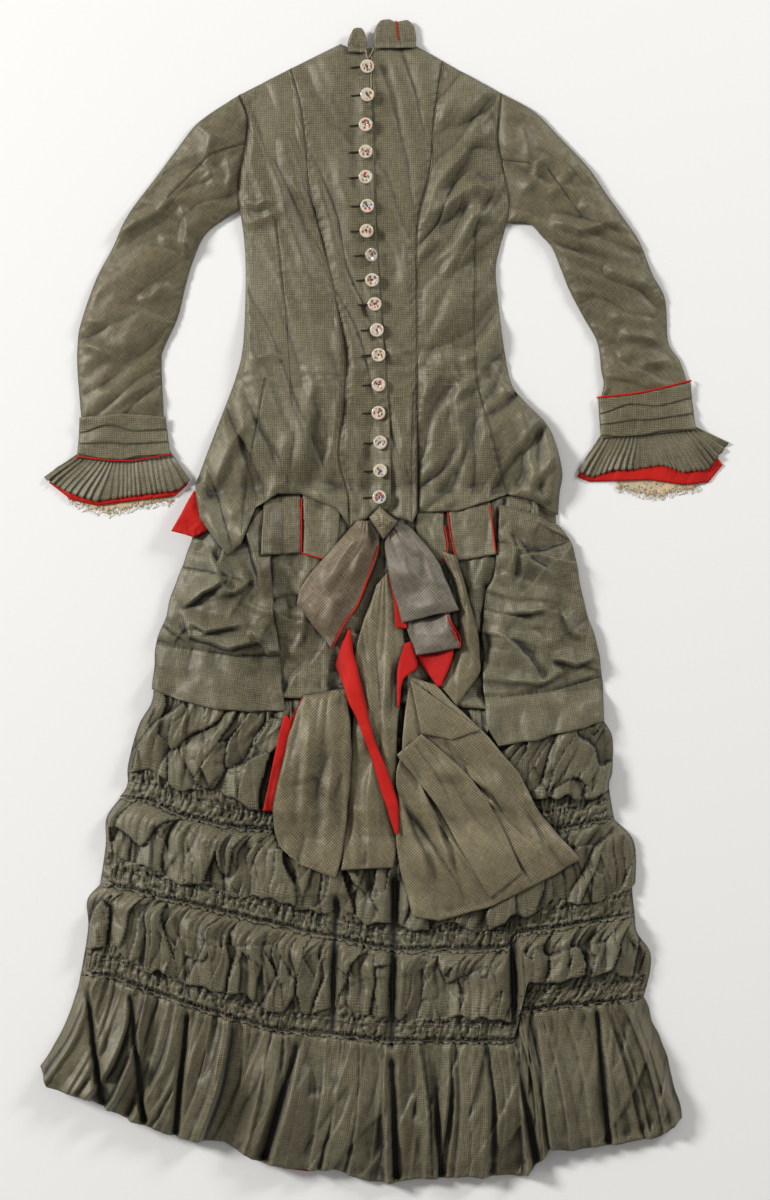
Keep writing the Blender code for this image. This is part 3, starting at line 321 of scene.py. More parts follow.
# Extra seams and darts: the cloth they are in and the points that they follow
DARTS = {
    "side_front_right": [[(-136, 476), (-124, 360), (-116, 244)],
                         [(-149, 279), (-162, 204), (-172, 160), (-178, 84)]],
    "side_front_left": [[(113, 464), (111, 351), (114, 275), (135, 198), (152, 133)]],
    "sleeve_right": [[(-174, 571), (-219, 555), (-271, 502)]],
    "sleeve_left": [[(145, 551), (181, 545)], [(202, 540), (246, 478)]],
    "pannier_right": [[(-286, -54), (-230, -62), (-186, -68), (-149, -68)]],
    "pannier_left": [[(142, -119), (207, -112), (269, -94)]],
    "front_left": [[(33, 100), (33, 180), (36, 260)]],
    "collar_left": [[(14, 722), (18, 700)]],
}

# Seams that show a line of dark thread
SEAM_LINES = [RIGHT_PRINCESS, LEFT_PRINCESS, RIGHT_ARMHOLE, LEFT_ARMHOLE]
for cloth in ("side_front_right", "side_front_left", "sleeve_right", "sleeve_left", "front_left"):
    SEAM_LINES += DARTS[cloth]

# Bodice pieces whose cloth is cut on the bias past their last seam, and the side of it
BIAS_SIDES = {"side_front_right": -1, "side_front_left": 1}
# Seam of the flat band below each hip drapery's pouch, and the angle at which it lies
BANDS = {"pannier_right": [(-300, -48), (-230, -62), (-186, -68), (-120, -68)],
         "pannier_left": [(110, -122), (142, -119), (207, -112), (290, -88)]}
BAND_TURN = {"pannier_right": -8, "pannier_left": 9}
# Long soft folds of each piece: angle, distance between them, their length, height
DRAPES = {"side_front_right": (110, 28, 190, 7.4), "front_right": (110, 30, 160, 4.4),
          "front_left": (108, 30, 150, 3.2), "side_front_left": (56, 26, 120, 7.4),
          "sleeve_right": (35, 26, 90, 3.4), "sleeve_left": (-20, 24, 80, 3.8),
          "front_panel": (85, 22, 120, 4.5), "sash_tail_centre": (92, 15, 130, 2.6),
          "sash_tail_right": (84, 22, 150, 3.2), "sash_tail_left": (-58, 24, 150, 3.4),
          "bow_loop_right": (58, 22, 90, 1.5), "bow_loop_left": (-58, 24, 90, 1.3),
          "bow_under_loop": (80, 16, 70, 1.2), "bow_back_loop": (85, 12, 70, 2.0)}
FULL_PUFF = 16.0      # height past which a puff's folds flatten
WAIST = 262.0         # y below which the bodice flares into flutes
FLUTE = 27.0          # distance between the flutes
# How much darker a cloth of the skirt is made: the tiers and the flounce a little, and the wearer's right hip
# drapery as painted shade
SKIRT_DARKER = {"tier": 0.10, "flounce": 0.08, "pannier_right": 0.14, "pannier_left": 0.0}

# Deep folds that cut through the tiers and the flounce: both ends and half width
DEEP_FOLDS = [(13, -330, 8, -560, 7), (8, -560, 14, -724, 6), (157, -400, 163, -560, 6),
              (163, -560, 192, -716, 6), (-107, -542, -151, -700, 6), (-372, -480, -352, -630, 4),
              (-245, -505, -262, -672, 4), (60, -560, 70, -720, 4), (262, -500, 280, -680, 4),
              (-60, -360, -66, -540, 6), (-318, -480, -300, -650, 4)]


def smooth(share):
    share = np.clip(share, 0.0, 1.0)
    return share * share * (3.0 - 2.0 * share)


def bell(distance, width):
    return np.exp(-(distance / width) ** 2)


def noise(x, y, seed):
    """Smooth noise from -1 to 1 over the plane, one lattice cell to a unit."""
    table = np.random.RandomState(seed).uniform(-1.0, 1.0, (64, 64))
    i, j = np.floor(x).astype(int), np.floor(y).astype(int)
    s, t = smooth(x - i), smooth(y - j)
    a, b = table[i % 64, j % 64], table[(i + 1) % 64, j % 64]
    c, d = table[i % 64, (j + 1) % 64], table[(i + 1) % 64, (j + 1) % 64]
    return (a * (1 - s) + b * s) * (1 - t) + (c * (1 - s) + d * s) * t


def noise_at(xy, size, seed):
    """The same noise at points, one lattice cell to `size` millimetres."""
    return noise(xy[..., 0] / size, xy[..., 1] / size, seed)


def facets(x, y, seed):
    """Cells of folded cloth: how far inside its cell each point lies, and the cell's own slope."""
    random = np.random.RandomState(seed)
    spots, slopes = random.uniform(0.05, 0.95, (64, 64, 2)), random.uniform(-1.0, 1.0, (64, 64, 3))
    i, j = np.floor(x).astype(int), np.floor(y).astype(int)
    near, after, slope = np.full(x.shape, 9.0), np.full(x.shape, 9.0), np.zeros(x.shape)
    for a in (-1, 0, 1):
        for b in (-1, 0, 1):
            cell = (i + a) % 64, (j + b) % 64
            across, up = x - i - a - spots[cell][..., 0], y - j - b - spots[cell][..., 1]
            away = np.hypot(across, up)
            tilt = slopes[cell]
            leaning = tilt[..., 0] * across + 0.6 * tilt[..., 1] * up + 0.5 * tilt[..., 2]
            slope = np.where(away < near, leaning, slope)
            after = np.minimum(after, np.maximum(near, away))
            near = np.minimum(near, away)
    return np.clip(after - near, 0.0, 1.0) ** 0.20, slope


def rumples(xy, size, seed):
    """The crisp crumpling of taffeta: flat facets between soft ridges, about -1 to 1."""
    x, y = xy[..., 0] / size, xy[..., 1] / size
    x, y = x + 0.35 * noise(x * 1.3, y * 1.3, seed + 1), y + 0.35 * noise(x * 1.3, y * 1.3, seed + 2)
    return (1.0 - 2.0 * np.abs(noise(x, y, seed + 3))) * 0.6 + 0.4 * noise(2.1 * x, 2.1 * y, seed + 4)


def drapes(xy, angle, across, length, seed):
    """Long soft folds that run at an angle, about -1 to 1."""
    c, s = math.cos(math.radians(angle)), math.sin(math.radians(angle))
    run, side = c * xy[..., 0] + s * xy[..., 1], c * xy[..., 1] - s * xy[..., 0]
    side = side + 0.35 * across * noise(run / (0.5 * length), side / (2 * across), seed + 1)
    broad = noise(side / across, run / length, seed + 2)
    fine = noise(side / (0.42 * across), run / (0.7 * length), seed + 3)
    return (np.abs(broad) ** 0.8 * 1.6 - 0.6) + 0.35 * fine


def creases(xy, angle, across, length, seed, sharp=0.09):
    """Flat areas of crisp cloth with sharp steps between them that run at an angle, about -1 to 1."""
    c, s = math.cos(math.radians(angle)), math.sin(math.radians(angle))
    run, side = (c * xy[..., 0] + s * xy[..., 1]) / length, (c * xy[..., 1] - s * xy[..., 0]) / across
    field = noise(side, run, seed) + 0.4 * noise(2.1 * side, 1.6 * run, seed + 1)
    fade = smooth(0.6 + 0.9 * noise(0.8 * side, 1.4 * run, seed + 2))
    return fade * (np.tanh(field / sharp) - 0.5 * bell(field, 0.6 * sharp))


def knife_folds(patch, count, height, seed, least):
    """Folds that spring from the gathering line, each sharp on one side and soft on the other."""
    random = np.random.RandomState(seed)
    away = 1.0 - patch.t
    lift = np.zeros(patch.s.shape)
    for number in range(count):
        place = (number + 0.5 + random.uniform(-0.45, 0.45)) / count
        lean, bend = random.normal(0, 0.16) / count, random.uniform(-0.2, 0.2) / count
        swing = random.uniform(2, 5)
        wide, rise = random.uniform(0.35, 1.3) / count, height * random.uniform(0.35, 1.0)
        side = 1 if random.uniform() < 0.6 else -1
        off = (patch.s - place - lean * away - bend * np.sin(swing * away)) * side
        width = wide * (least + (1.0 - least) * away)
        soft = np.clip(1.0 - np.abs(off) / (1.7 * width), 0.0, 1.0) ** 1.1
        sharp = np.exp(-(off / (0.13 * width + 0.0012)) ** 2)
        grown = 0.35 + 0.65 * smooth(away * random.uniform(1.0, 2.5))
        lift = np.maximum(lift, rise * grown * np.where(off > 0, soft, sharp)) + 0.12 * rise * soft
    return lift


def gathers(u, away, seed, levels):
    """Folds that start fine at a gathering line and run together away from it."""
    height = np.zeros(u.shape)
    sway = 2.5 * noise(u / 24.0, away / 30.0, seed + 40)
    for level in range(levels):
        wave = 5.0 * 1.9 ** level
        ridge = np.abs(noise((u + sway) / wave, away / (9.0 * wave), seed + level)) ** 0.65
        grown = smooth((away + 0.4 * wave) / (1.6 * wave))
        height += 0.42 * wave * ridge * grown * np.exp(-away / (7.0 * wave))
    return height


def along(points, marks, curved=False):
    """Points at the given shares of a line's length, rounded through its points if curved."""
    points = np.array(points, float)
    if curved and len(points) > 2:
        ends = np.vstack([2 * points[0] - points[1], points, 2 * points[-1] - points[-2]])
        t = np.linspace(0, 1, 12, endpoint=False)[:, None]
        runs = []
        for p0, p1, p2, p3 in zip(ends, ends[1:], ends[2:], ends[3:]):
            runs.append(0.5 * (2 * p1 + (p2 - p0) * t + (2 * p0 - 5 * p1 + 4 * p2 - p3) * t ** 2
                               + (3 * p1 - p0 - 3 * p2 + p3) * t ** 3))
        points = np.vstack(runs + [points[-1:]])
    run = np.concatenate([[0.0], np.cumsum(np.hypot(*np.diff(points, axis=0).T))])
    return np.stack([np.interp(marks, run / run[-1], points[:, axis]) for axis in (0, 1)], axis=1)


def line_length(points):
    return np.hypot(*np.diff(np.array(points, float), axis=0).T).sum()


def follow(xy, path):
    """Signed distance to a line (positive on its left) and the share of its length, per point."""
    path = np.array(path, float)
    runs = np.hypot(*np.diff(path, axis=0).T)
    start, total = np.concatenate([[0.0], np.cumsum(runs)]), runs.sum()
    best, side, share = np.full(xy.shape[:-1], 1e9), np.zeros(xy.shape[:-1]), np.zeros(xy.shape[:-1])
    for one, two, run, before in zip(path, path[1:], runs, start):
        way = (two - one) / run
        along_it = np.clip((xy - one) @ way, 0.0, run)
        off = xy - one - along_it[..., None] * way
        away = np.hypot(off[..., 0], off[..., 1])
        closer = away < best
        best = np.where(closer, away, best)
        side = np.where(closer, np.sign(way[0] * off[..., 1] - way[1] * off[..., 0]), side)
        share = np.where(closer, (before + along_it) / total, share)
    return best * np.where(side == 0, 1, side), share


def folded(xy, rows):
    """The height of the listed folds; each side of a fold has its own width."""
    height = np.zeros(xy.shape[:-1])
    for path, rise, left, right in rows:
        away, share = follow(xy, path)
        away = away + 2.0 * noise_at(xy, 18.0, 77)
        width = np.where(away > 0, left, right)
        taper = smooth(share / 0.25 + 0.02) * smooth((1.0 - share) / 0.35 + 0.02)
        height += rise * taper * np.exp(-(np.abs(away) / width) ** 1.7)
    return height


def seams(xy, paths):
    """A stitched seam: a thin groove with small puckers across it."""
    height = np.zeros(xy.shape[:-1])
    for number, path in enumerate(paths):
        away, share = follow(xy, path)
        run = share * line_length(path)
        ends = smooth(share / 0.02) * smooth((1 - share) / 0.02)
        pucker = np.abs(noise(run / 5.5, away / 16.0, 5 + number)) ** 0.7
        height += ends * (-1.3 * bell(away, 1.5) + 1.1 * (pucker - 0.4) * bell(away, 8.0))
    return height


class Patch:
    """A piece of cloth between four edges, as rows of points from its bottom to its top."""

    def __init__(self, left, right, bottom, top, cell=2.4, tall_cell=None, top_curved=False):
        curved = (True, True, False, top_curved)
        sides = [along(edge, np.linspace(0, 1, 60), bend) for edge, bend in
                 zip((left, right, bottom, top), curved)]
        wide = max(line_length(sides[2]), line_length(sides[3]))
        tall = max(line_length(sides[0]), line_length(sides[1]))
        columns, rows = int(wide / cell) + 2, int(tall / (tall_cell or cell)) + 2
        s, t = np.linspace(0, 1, columns), np.linspace(0, 1, rows)
        left, right = along(left, t, curved[0]), along(right, t, curved[1])
        bottom, top = along(bottom, s, curved[2]), along(top, s, curved[3])
        self.s, self.t = np.meshgrid(s, t)
        a, b = self.s[..., None], self.t[..., None]
        corners = ((1 - b) * ((1 - a) * bottom[0] + a * bottom[-1]) + b * ((1 - a) * top[0] + a * top[-1]))
        self.xy = ((1 - a) * left[:, None] + a * right[:, None] + (1 - b) * bottom[None] + b * top[None]
                   - corners)
        self.measure()

    def measure(self):
        """Distances along the cloth, in millimetres, from each edge."""
        across = np.hypot(*np.moveaxis(np.diff(self.xy, axis=1), -1, 0))
        up = np.hypot(*np.moveaxis(np.diff(self.xy, axis=0), -1, 0))
        self.u = np.concatenate([np.zeros((len(self.xy), 1)), np.cumsum(across, axis=1)], axis=1)
        self.v = np.concatenate([np.zeros((1, self.xy.shape[1])), np.cumsum(up, axis=0)], axis=0)
        self.wide, self.tall = self.u[:, -1:], self.v[-1:, :]
        self.from_side = np.minimum(self.u, self.wide - self.u)
        self.from_end = np.minimum(self.v, self.tall - self.v)
        self.from_edge = np.minimum(self.from_side, self.from_end)

    def fray(self, amount, seed):
        """Makes the outline a little uneven."""
        edge = bell(self.from_edge, 12.0)[..., None]
        shake = np.stack([noise_at(self.xy, 21.0, seed + k) for k in (0, 1)], axis=-1)
        self.xy = self.xy + amount * shake * edge


def strip(left, right, cell=2.4, bottom=None, top=None):
    """A patch whose lower and upper edges are straight between its sides, unless they are given."""
    return Patch(left, right, bottom or [left[0], right[0]], top or [left[-1], right[-1]], cell)


def band(bottom, top, cell, tall_cell=None):
    """A patch whose sides are straight between its lower and upper edges."""
    return Patch([bottom[0], top[0]], [bottom[-1], top[-1]], bottom, top, cell, tall_cell)


def in_metres(xy, high):
    """Places in the frame of points in the dress's plane at a height, both in millimetres."""
    return np.concatenate([xy * MM + SHIFT, high[..., None] * MM], axis=-1)


class Pile:
    """The height of everything laid so far, on a square raster."""

    def __init__(self):
        self.height = np.zeros([int(2 * reach / STEP) + 1 for reach in REACH])
        self.settle()

    def settle(self):
        """Takes everything laid so far as what the next pieces lie on."""
        self.ground, self.soft = self.height.copy(), {}

    def sample(self, raster, xy):
        """A raster's value at points, between those of the cells around each."""
        place = (xy + REACH) / STEP
        corner = np.clip(np.floor(place).astype(int), 0, np.array(raster.shape) - 2)
        (i, j), (s, t) = np.moveaxis(corner, -1, 0), np.moveaxis(place - corner, -1, 0)
        return ((raster[i, j] * (1 - s) + raster[i + 1, j] * s) * (1 - t)
                + (raster[i, j + 1] * (1 - s) + raster[i + 1, j + 1] * s) * t)

    def softened(self, radius):
        """The pile as a cloth of some stiffness lies on it: never lower, without its steps."""
        count = max(int(round(radius / STEP)), 1)
        if count in self.soft:
            return self.soft[count]
        raster = self.ground
        for axis in (0, 1):
            raster = np.max([np.roll(raster, k, axis=axis) for k in range(-count, count + 1)], axis=0)
        for axis in (0, 1):
            raster = np.mean([np.roll(raster, k, axis=axis) for k in range(-count, count + 1)], axis=0)
        self.soft[count] = raster
        return raster

    def on_top(self, points, above):
        """Points at a height above the pile, as places in metres."""
        xy = np.array(points, float)
        return in_metres(xy, self.sample(self.softened(STEP), xy) + above)

    def lay(self, xy, high):
        """Raises the pile to a cloth that lies over rows of points."""
        points = np.concatenate([xy, high[..., None]], axis=-1)
        a, b, c, d = points[:-1, :-1], points[:-1, 1:], points[1:, :-1], points[1:, 1:]
        for s in (0.0, 0.25, 0.5, 0.75):
            for t in (0.0, 0.25, 0.5, 0.75):
                spot = (a * (1 - s) + b * s) * (1 - t) + (c * (1 - s) + d * s) * t
                place = np.round((spot[..., :2] + REACH) / STEP).astype(int)
                place = np.clip(place, 0, np.array(self.height.shape) - 1)
                np.maximum.at(self.height, (place[..., 0], place[..., 1]), spot[..., 2])


pile = Pile()
LAID = []             # every cloth's mesh with its points, heights and painted shade


def deepen_under_edges():
    """Deepens the shade of each cloth close to where a higher one ends."""
    near = pile.height
    for axis in (0, 1):
        near = np.mean([np.roll(near, k, axis=axis) for k in (-2, -1, 0, 1, 2)], axis=0)
    for mesh, xy, high, depth in LAID:
        if len(mesh.vertices) != depth.size:      # torn lace
            continue
        above = np.clip((pile.sample(near, xy) - high - 1.2) / 3.5, 0.0, 1.0)
        depth = np.clip(depth + 1.1 * above, 0.0, 1.35)
        mesh.attributes["fold_depth"].data.foreach_set("value", depth.astype(np.float32).ravel())


def set_weave(mesh, uv):
    """Gives a mesh its weave coordinates: one pair, in metres, for each vertex."""
    corners = np.zeros(len(mesh.loops), dtype=np.int32)
    mesh.loops.foreach_get("vertex_index", corners)
    layer = mesh.uv_layers.new(name="weave")
    layer.data.foreach_set("uv", uv[corners].astype(np.float32).ravel())


def build_mesh(name, xy, high, uv, depth):
    """A mesh over rows of points, with its weave coordinates and the painted shade of its folds."""
    rows, columns = high.shape
    points = in_metres(xy, high).reshape(-1, 3)
    corner = (np.arange(rows - 1)[:, None] * columns + np.arange(columns - 1)[None, :]).reshape(-1)
    faces = np.stack([corner, corner + 1, corner + columns + 1, corner + columns], axis=1)
    mesh = bpy.data.meshes.new(name)
    mesh.from_pydata(points.tolist(), [], faces.tolist())
    mesh.update()
    set_weave(mesh, uv.reshape(-1, 2) * MM)
    shade = mesh.attributes.new("fold_depth", "FLOAT", "POINT")
    shade.data.foreach_set("value", depth.astype(np.float32).ravel())
    mesh.shade_smooth()
    return mesh


def fold_depth(high):
    """How deep each point lies in a crease or a fold, from 0 to 1: painted shade, darker the deeper it lies.
    """
    depth = np.zeros(high.shape)
    for reach, full, share in ((2, 1.3, 0.65), (6, 6.0, 0.6)):
        wide = np.pad(high, reach, mode="edge")
        for axis in (0, 1):
            wide = np.mean([np.roll(wide, k, axis=axis) for k in range(-reach, reach + 1)], axis=0)
        depth += share * np.clip((wide[reach:-reach, reach:-reach] - high) / full, 0.0, 1.0)
    return np.clip(depth, 0.0, 1.0)


def arc_lengths(patch, high):
    """Distances along the cloth over its folds, which is how its weave runs."""
    solid = np.concatenate([patch.xy, high[..., None]], axis=-1)
    across = np.sqrt((np.diff(solid, axis=1) ** 2).sum(axis=-1))
    up = np.sqrt((np.diff(solid, axis=0) ** 2).sum(axis=-1))
    return across, up


def add_object(name, data):
    thing = bpy.data.objects.new(name, data)
    bpy.context.scene.collection.objects.link(thing)
    return thing


def add_piece(name, mesh, cloth, nodes=(), wall=SILK):
    """Makes a mesh a piece of a cloth, which is a material and its slot."""
    material, slot = cloth
    piece = add_object(name, mesh)
    mesh.materials.append(material)
    if wall:
        shell = piece.modifiers.new("wall", "SOLIDIFY")
        shell.thickness = wall * MM
        shell.offset = -1.0
        shell.use_even_offset = False
        shell.use_rim_only = len(mesh.vertices) > RIM_ONLY
    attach(piece, "root")
    if nodes:
        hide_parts(*nodes)
    return piece


def lay_cloth(name, patch, lift, cloth, soften=6.0, turn=0.0,
              follow_folds=False, roll=1.0, laps=None, hug=0.0, shade=0.0, extra=False):
    """Lays a patch on the pile, adds its folds, and makes it the cloth of the CAD node `name`.

    `soften` is the cloth's stiffness, `turn` the weave's angle, and `roll` how far the edge curls down.
    Within `hug` of its lower edge the cloth follows every rise and hollow of what is under it. What it
    lies on counts as at most `laps` lower than its highest place. `shade` is added to the painted shade of
    its folds. An `extra` cloth stands for no node.
    """
    base = pile.sample(pile.softened(soften), patch.xy)
    if hug:
        close = 1.0 - smooth(patch.v / hug)
        base = base * (1.0 - close) + pile.sample(pile.ground, patch.xy) * close
    if laps:
        base = np.maximum(base, base.max() - laps)
    high = base + AIR + SILK + lift
    high -= roll * bell(patch.from_edge, 1.6)
    high = np.maximum(high, pile.sample(pile.softened(STEP), patch.xy) + SILK + 0.1)
    across, up = arc_lengths(patch, high)
    if follow_folds:
        middle = across.mean(axis=0)
        u = np.concatenate([[0.0], np.cumsum(middle)])[None, :] * np.ones((len(high), 1))
        uv = np.stack([u, patch.v], axis=-1)
    else:
        c, s = np.cos(np.radians(turn)), np.sin(np.radians(turn))
        x, y = patch.xy[..., 0], patch.xy[..., 1]
        uv = np.stack([c * x + s * y, c * y - s * x], axis=-1)
    # painted shade: darker in creases and folds, more by `shade`
    depth = np.clip(fold_depth(high) + shade, 0.0, 1.3)
    label, nodes = (name, ()) if extra else (name + "_cloth", (name,))
    mesh = build_mesh(label, patch.xy, high, uv, depth)
    LAID.append((mesh, patch.xy, high, depth))
    piece = add_piece(label, mesh, cloth, nodes)
    pile.lay(patch.xy, high)
    return piece


def closed_form(name, patch, high):
    """A hidden back: a closed form, flat below, with an edge of several layers, one on the other."""
    place = np.arange(high.size).reshape(high.shape)
    rim = np.concatenate([place[0], place[1:, -1], place[-1, -2::-1], place[-2:0:-1, 0]])
    top = np.concatenate([patch.xy, high[..., None]], axis=-1).reshape(-1, 3)
    line, edge = top[rim, :2], top[rim, 2]
    way = np.roll(line, -1, axis=0) - np.roll(line, 1, axis=0)
    out = np.stack([way[:, 1], -way[:, 0]], axis=1) / (np.hypot(*way.T)[:, None] + 1e-9)
    form, points = bmesh.new(), [top, top * (1.0, 1.0, 0.0)]
    for number in range(1, 2 * HIDDEN_LAYERS):
        share = 1.0 - number / (2.0 * HIDDEN_LAYERS)
        push = (1.0 + 0.8 * noise_at(line, 30.0, number)) * (1 if number % 2 else -0.4)
        points.append(np.column_stack([line + out * push[:, None], edge * share]))
    points = np.vstack(points)
    verts = [form.verts.new(point) for point in in_metres(points[:, :2], points[:, 2])]
    for a, b in zip(place[:-1, :-1].ravel(), place[1:, :-1].ravel()):
        form.faces.new([verts[k] for k in (a, a + 1, b + 1, b)])
        form.faces.new([verts[high.size + k] for k in (b, b + 1, a + 1, a)])
    loops = [[verts[k] for k in rim]]
    loops += [verts[start:start + len(rim)] for start in range(2 * high.size, len(verts), len(rim))]
    loops.append([verts[high.size + k] for k in rim])
    for one, two in zip(loops, loops[1:]):
        for k in range(len(rim)):
            n = (k + 1) % len(rim)
            form.faces.new([one[k], two[k], two[n], one[n]])
    weave = form.loops.layers.uv.new("weave")
    for face in form.faces:
        for loop in face.loops:
            loop[weave].uv = loop.vert.co.xy
    mesh = bpy.data.meshes.new(name + "_layers")
    form.to_mesh(mesh)
    form.free()
    mesh.attributes.new("fold_depth", "FLOAT", "POINT")
    mesh.shade_smooth()
    add_piece(name + "_layers", mesh, SILK_CLOTH, (name,), wall=0)
    pile.lay(patch.xy, high)


class Nodes:
    """Adds nodes to a tree and joins them."""

    def __init__(self, tree):
        self.tree = tree

    def add(self, kind, output=0, **values):
        node = self.tree.nodes.new(kind)
        for key, value in values.items():
            if hasattr(node, key) and key not in node.inputs:
                setattr(node, key, value)
            else:
                self.put(node.inputs[int(key[1:]) if key[0] == "i" and key[1:].isdigit() else key], value)
        return node.outputs[output]

    def put(self, socket, value):
        if isinstance(value, bpy.types.NodeSocket):
            self.tree.links.new(value, socket)
        else:
            socket.default_value = value

    def math(self, operation, one, two=0.0, three=0.0):
        return self.add("ShaderNodeMath", operation=operation, i0=one, i1=two, i2=three)

    def object_place(self):
        return self.add("ShaderNodeTexCoord", output=3)

    def ramp(self, value, low, high, start=0.0, end=1.0):
        """A value carried from the range low to high over to the range start to end."""
        return self.add("ShaderNodeMapRange", Value=value, i1=low, i2=high, i3=start, i4=end)

    def mix(self, share, one, two, blend="MIX"):
        return self.add("ShaderNodeMixRGB", blend_type=blend, i0=share, i1=one, i2=two)

    def shaded(self, colour, tone):
        """A colour made lighter or darker by a tone."""
        grey = self.add("ShaderNodeCombineXYZ", X=tone, Y=tone, Z=tone)
        return self.mix(1.0, colour, grey, "MULTIPLY")

    def grain(self, vector, scale, detail=2.0, stretch=(1, 1, 1)):
        turned = self.add("ShaderNodeMapping", Vector=vector, Scale=stretch)
        return self.add("ShaderNodeTexNoise", Vector=turned, Scale=scale, Detail=detail)


def new_group(name, inputs, outputs):
    tree = bpy.data.node_groups.new(name, "ShaderNodeTree")
    for label, kind, value in inputs:
        socket = tree.interface.new_socket(name=label, in_out="INPUT", socket_type="NodeSocket" + kind)
        socket.default_value = value
    for label, kind in outputs:
        tree.interface.new_socket(name=label, in_out="OUTPUT", socket_type="NodeSocket" + kind)
    start, end = tree.nodes.new("NodeGroupInput"), tree.nodes.new("NodeGroupOutput")
    return Nodes(tree), {s.name: s for s in start.outputs}, {s.name: s for s in end.inputs}


def check_group():
    """Shepherd's check: dark and cream threads by turns, both ways, with uneven slubs."""
    weave, given, out = new_group("shepherds_check", [
        ("Place", "Vector", (0, 0, 0)), ("Pitch", "Float", 1.0), ("Dark", "Color", (0, 0, 0, 1)),
        ("Cream", "Color", (1, 1, 1, 1)), ("Slub", "Float", 0.3)], [("Color", "Color"), ("Height", "Float")])
    wander = weave.add("ShaderNodeTexNoise", output=1, Vector=given["Place"], Scale=120.0, Detail=2.0)
    wander = weave.add("ShaderNodeVectorMath", operation="MULTIPLY_ADD", i0=wander, i1=(0.0032,) * 3,
                       i2=given["Place"])
    apart = weave.tree.nodes.new("ShaderNodeSeparateXYZ")
    weave.put(apart.inputs[0], wander)
    threads = []
    for axis in (0, 1):
        turns = weave.math("DIVIDE", apart.outputs[axis], given["Pitch"])
        wave = weave.math("SINE", weave.math("MULTIPLY", turns, 2.0 * math.pi))
        swing = weave.math("MULTIPLY_ADD", wave, 0.9, 0.5)
        threads.append(weave.add("ShaderNodeClamp", Value=swing))
    share = weave.math("MULTIPLY", weave.math("ADD", threads[0], threads[1]), 0.5)
    colour = weave.mix(share, given["Dark"], given["Cream"])
    warp = weave.grain(given["Place"], 620.0, stretch=(1.0, 0.12, 1.0))
    weft = weave.grain(given["Place"], 680.0, stretch=(0.12, 1.0, 1.0))
    slub = weave.math("SUBTRACT", weave.math("ADD", warp, weft), 1.0)
    tone = weave.math("MULTIPLY_ADD", slub, given["Slub"], 1.0)
    weave.put(out["Color"], weave.shaded(colour, tone))
    weave.put(out["Height"], weave.math("MULTIPLY_ADD", share, 0.25, slub))
    return weave.tree


def tone_and_shade_group():
    """Old cloth: patches of another tone and an uneven sheen, with painted shade that darkens its folds."""
    toning, given, out = new_group("ageing", [
        ("Color", "Color", (1, 1, 1, 1)), ("Other", "Color", (1, 1, 1, 1)), ("Patches", "Float", 0.5),
        ("Depth", "Float", 0.6)], [("Color", "Color"), ("Roughness", "Float")])
    place = toning.object_place()
    broad = toning.grain(place, 9.0, 3.0)
    fine = toning.grain(place, 55.0, 3.0)
    share = toning.math("MULTIPLY", toning.ramp(broad, 0.35, 0.65), given["Patches"])
    colour = toning.mix(share, given["Color"], given["Other"])
    # painted shade: the deeper a point lies in a fold, the darker
    fold = toning.add("ShaderNodeAttribute", output=2, attribute_name="fold_depth")
    deep = toning.math("MULTIPLY", fold, given["Depth"])
    tone = toning.math("SUBTRACT", 1.0, deep)
    for texture, amount, least in ((fine, 0.36, 0.82), (broad, 1.1, 0.45)):
        tone = toning.math("MULTIPLY", tone, toning.math("MULTIPLY_ADD", texture, amount, least))
    toning.put(out["Color"], toning.shaded(colour, tone))
    toning.put(out["Roughness"], toning.math("MULTIPLY_ADD", fine, 0.20, 0.42))
    return toning.tree


def crumple_group():
    """Small creases of crisp silk, as a height."""
    crease, given, out = new_group("crumple", [("Weave", "Float", 0.0), ("Size", "Float", 90.0)],
                                   [("Height", "Float")])
    place = crease.object_place()
    broad = crease.add("ShaderNodeTexVoronoi", Vector=place, Scale=given["Size"], feature="SMOOTH_F1")
    fine = crease.grain(place, 260.0, 4.0)
    both = crease.math("MULTIPLY_ADD", fine, 0.35, broad)
    crease.put(out["Height"], crease.math("MULTIPLY_ADD", given["Weave"], 0.25, both))
    return crease.tree


GROUPS = {"check": check_group(), "ageing": tone_and_shade_group(), "crumple": crumple_group()}


def use_group(nodes, name, **values):
    node = nodes.tree.nodes.new("ShaderNodeGroup")
    node.node_tree = GROUPS[name]
    for key, value in values.items():
        nodes.put(node.inputs[key], value)
    return node


def start_material(name, **settings):
    """A material with its nodes and its shader's inputs, some of them set: Sheen_Weight for Sheen Weight."""
    material = bpy.data.materials.new(name)
    material.use_nodes = True
    shader = material.node_tree.nodes["Principled BSDF"].inputs
    for label, value in settings.items():
        shader[label.replace("_", " ")].default_value = value
    return material, Nodes(material.node_tree), shader


def checked_silk(name, dark, cream, other):
    """Silk taffeta woven in a small check, of two thread colours and the tone that it ages to."""
    material, nodes, shader = start_material(name, Metallic=0.12, Specular_IOR_Level=0.4, Sheen_Weight=0.12)
    place = nodes.add("ShaderNodeUVMap", uv_map="weave")
    check = use_group(nodes, "check", Place=place, Pitch=CHECK_PITCH * MM, Dark=dark, Cream=cream, Slub=1.2)
    # patches of another tone, and painted shade in the folds
    toned = use_group(nodes, "ageing", Color=check.outputs["Color"], Other=other, Patches=0.36, Depth=0.70)
    nodes.put(shader["Base Color"], toned.outputs["Color"])
    nodes.put(shader["Roughness"], toned.outputs["Roughness"])
    height = use_group(nodes, "crumple", Weave=check.outputs["Height"]).outputs["Height"]
    bump = nodes.add("ShaderNodeBump", Strength=0.22, Distance=0.0010, Height=height)
    nodes.put(shader["Normal"], bump)
    return material


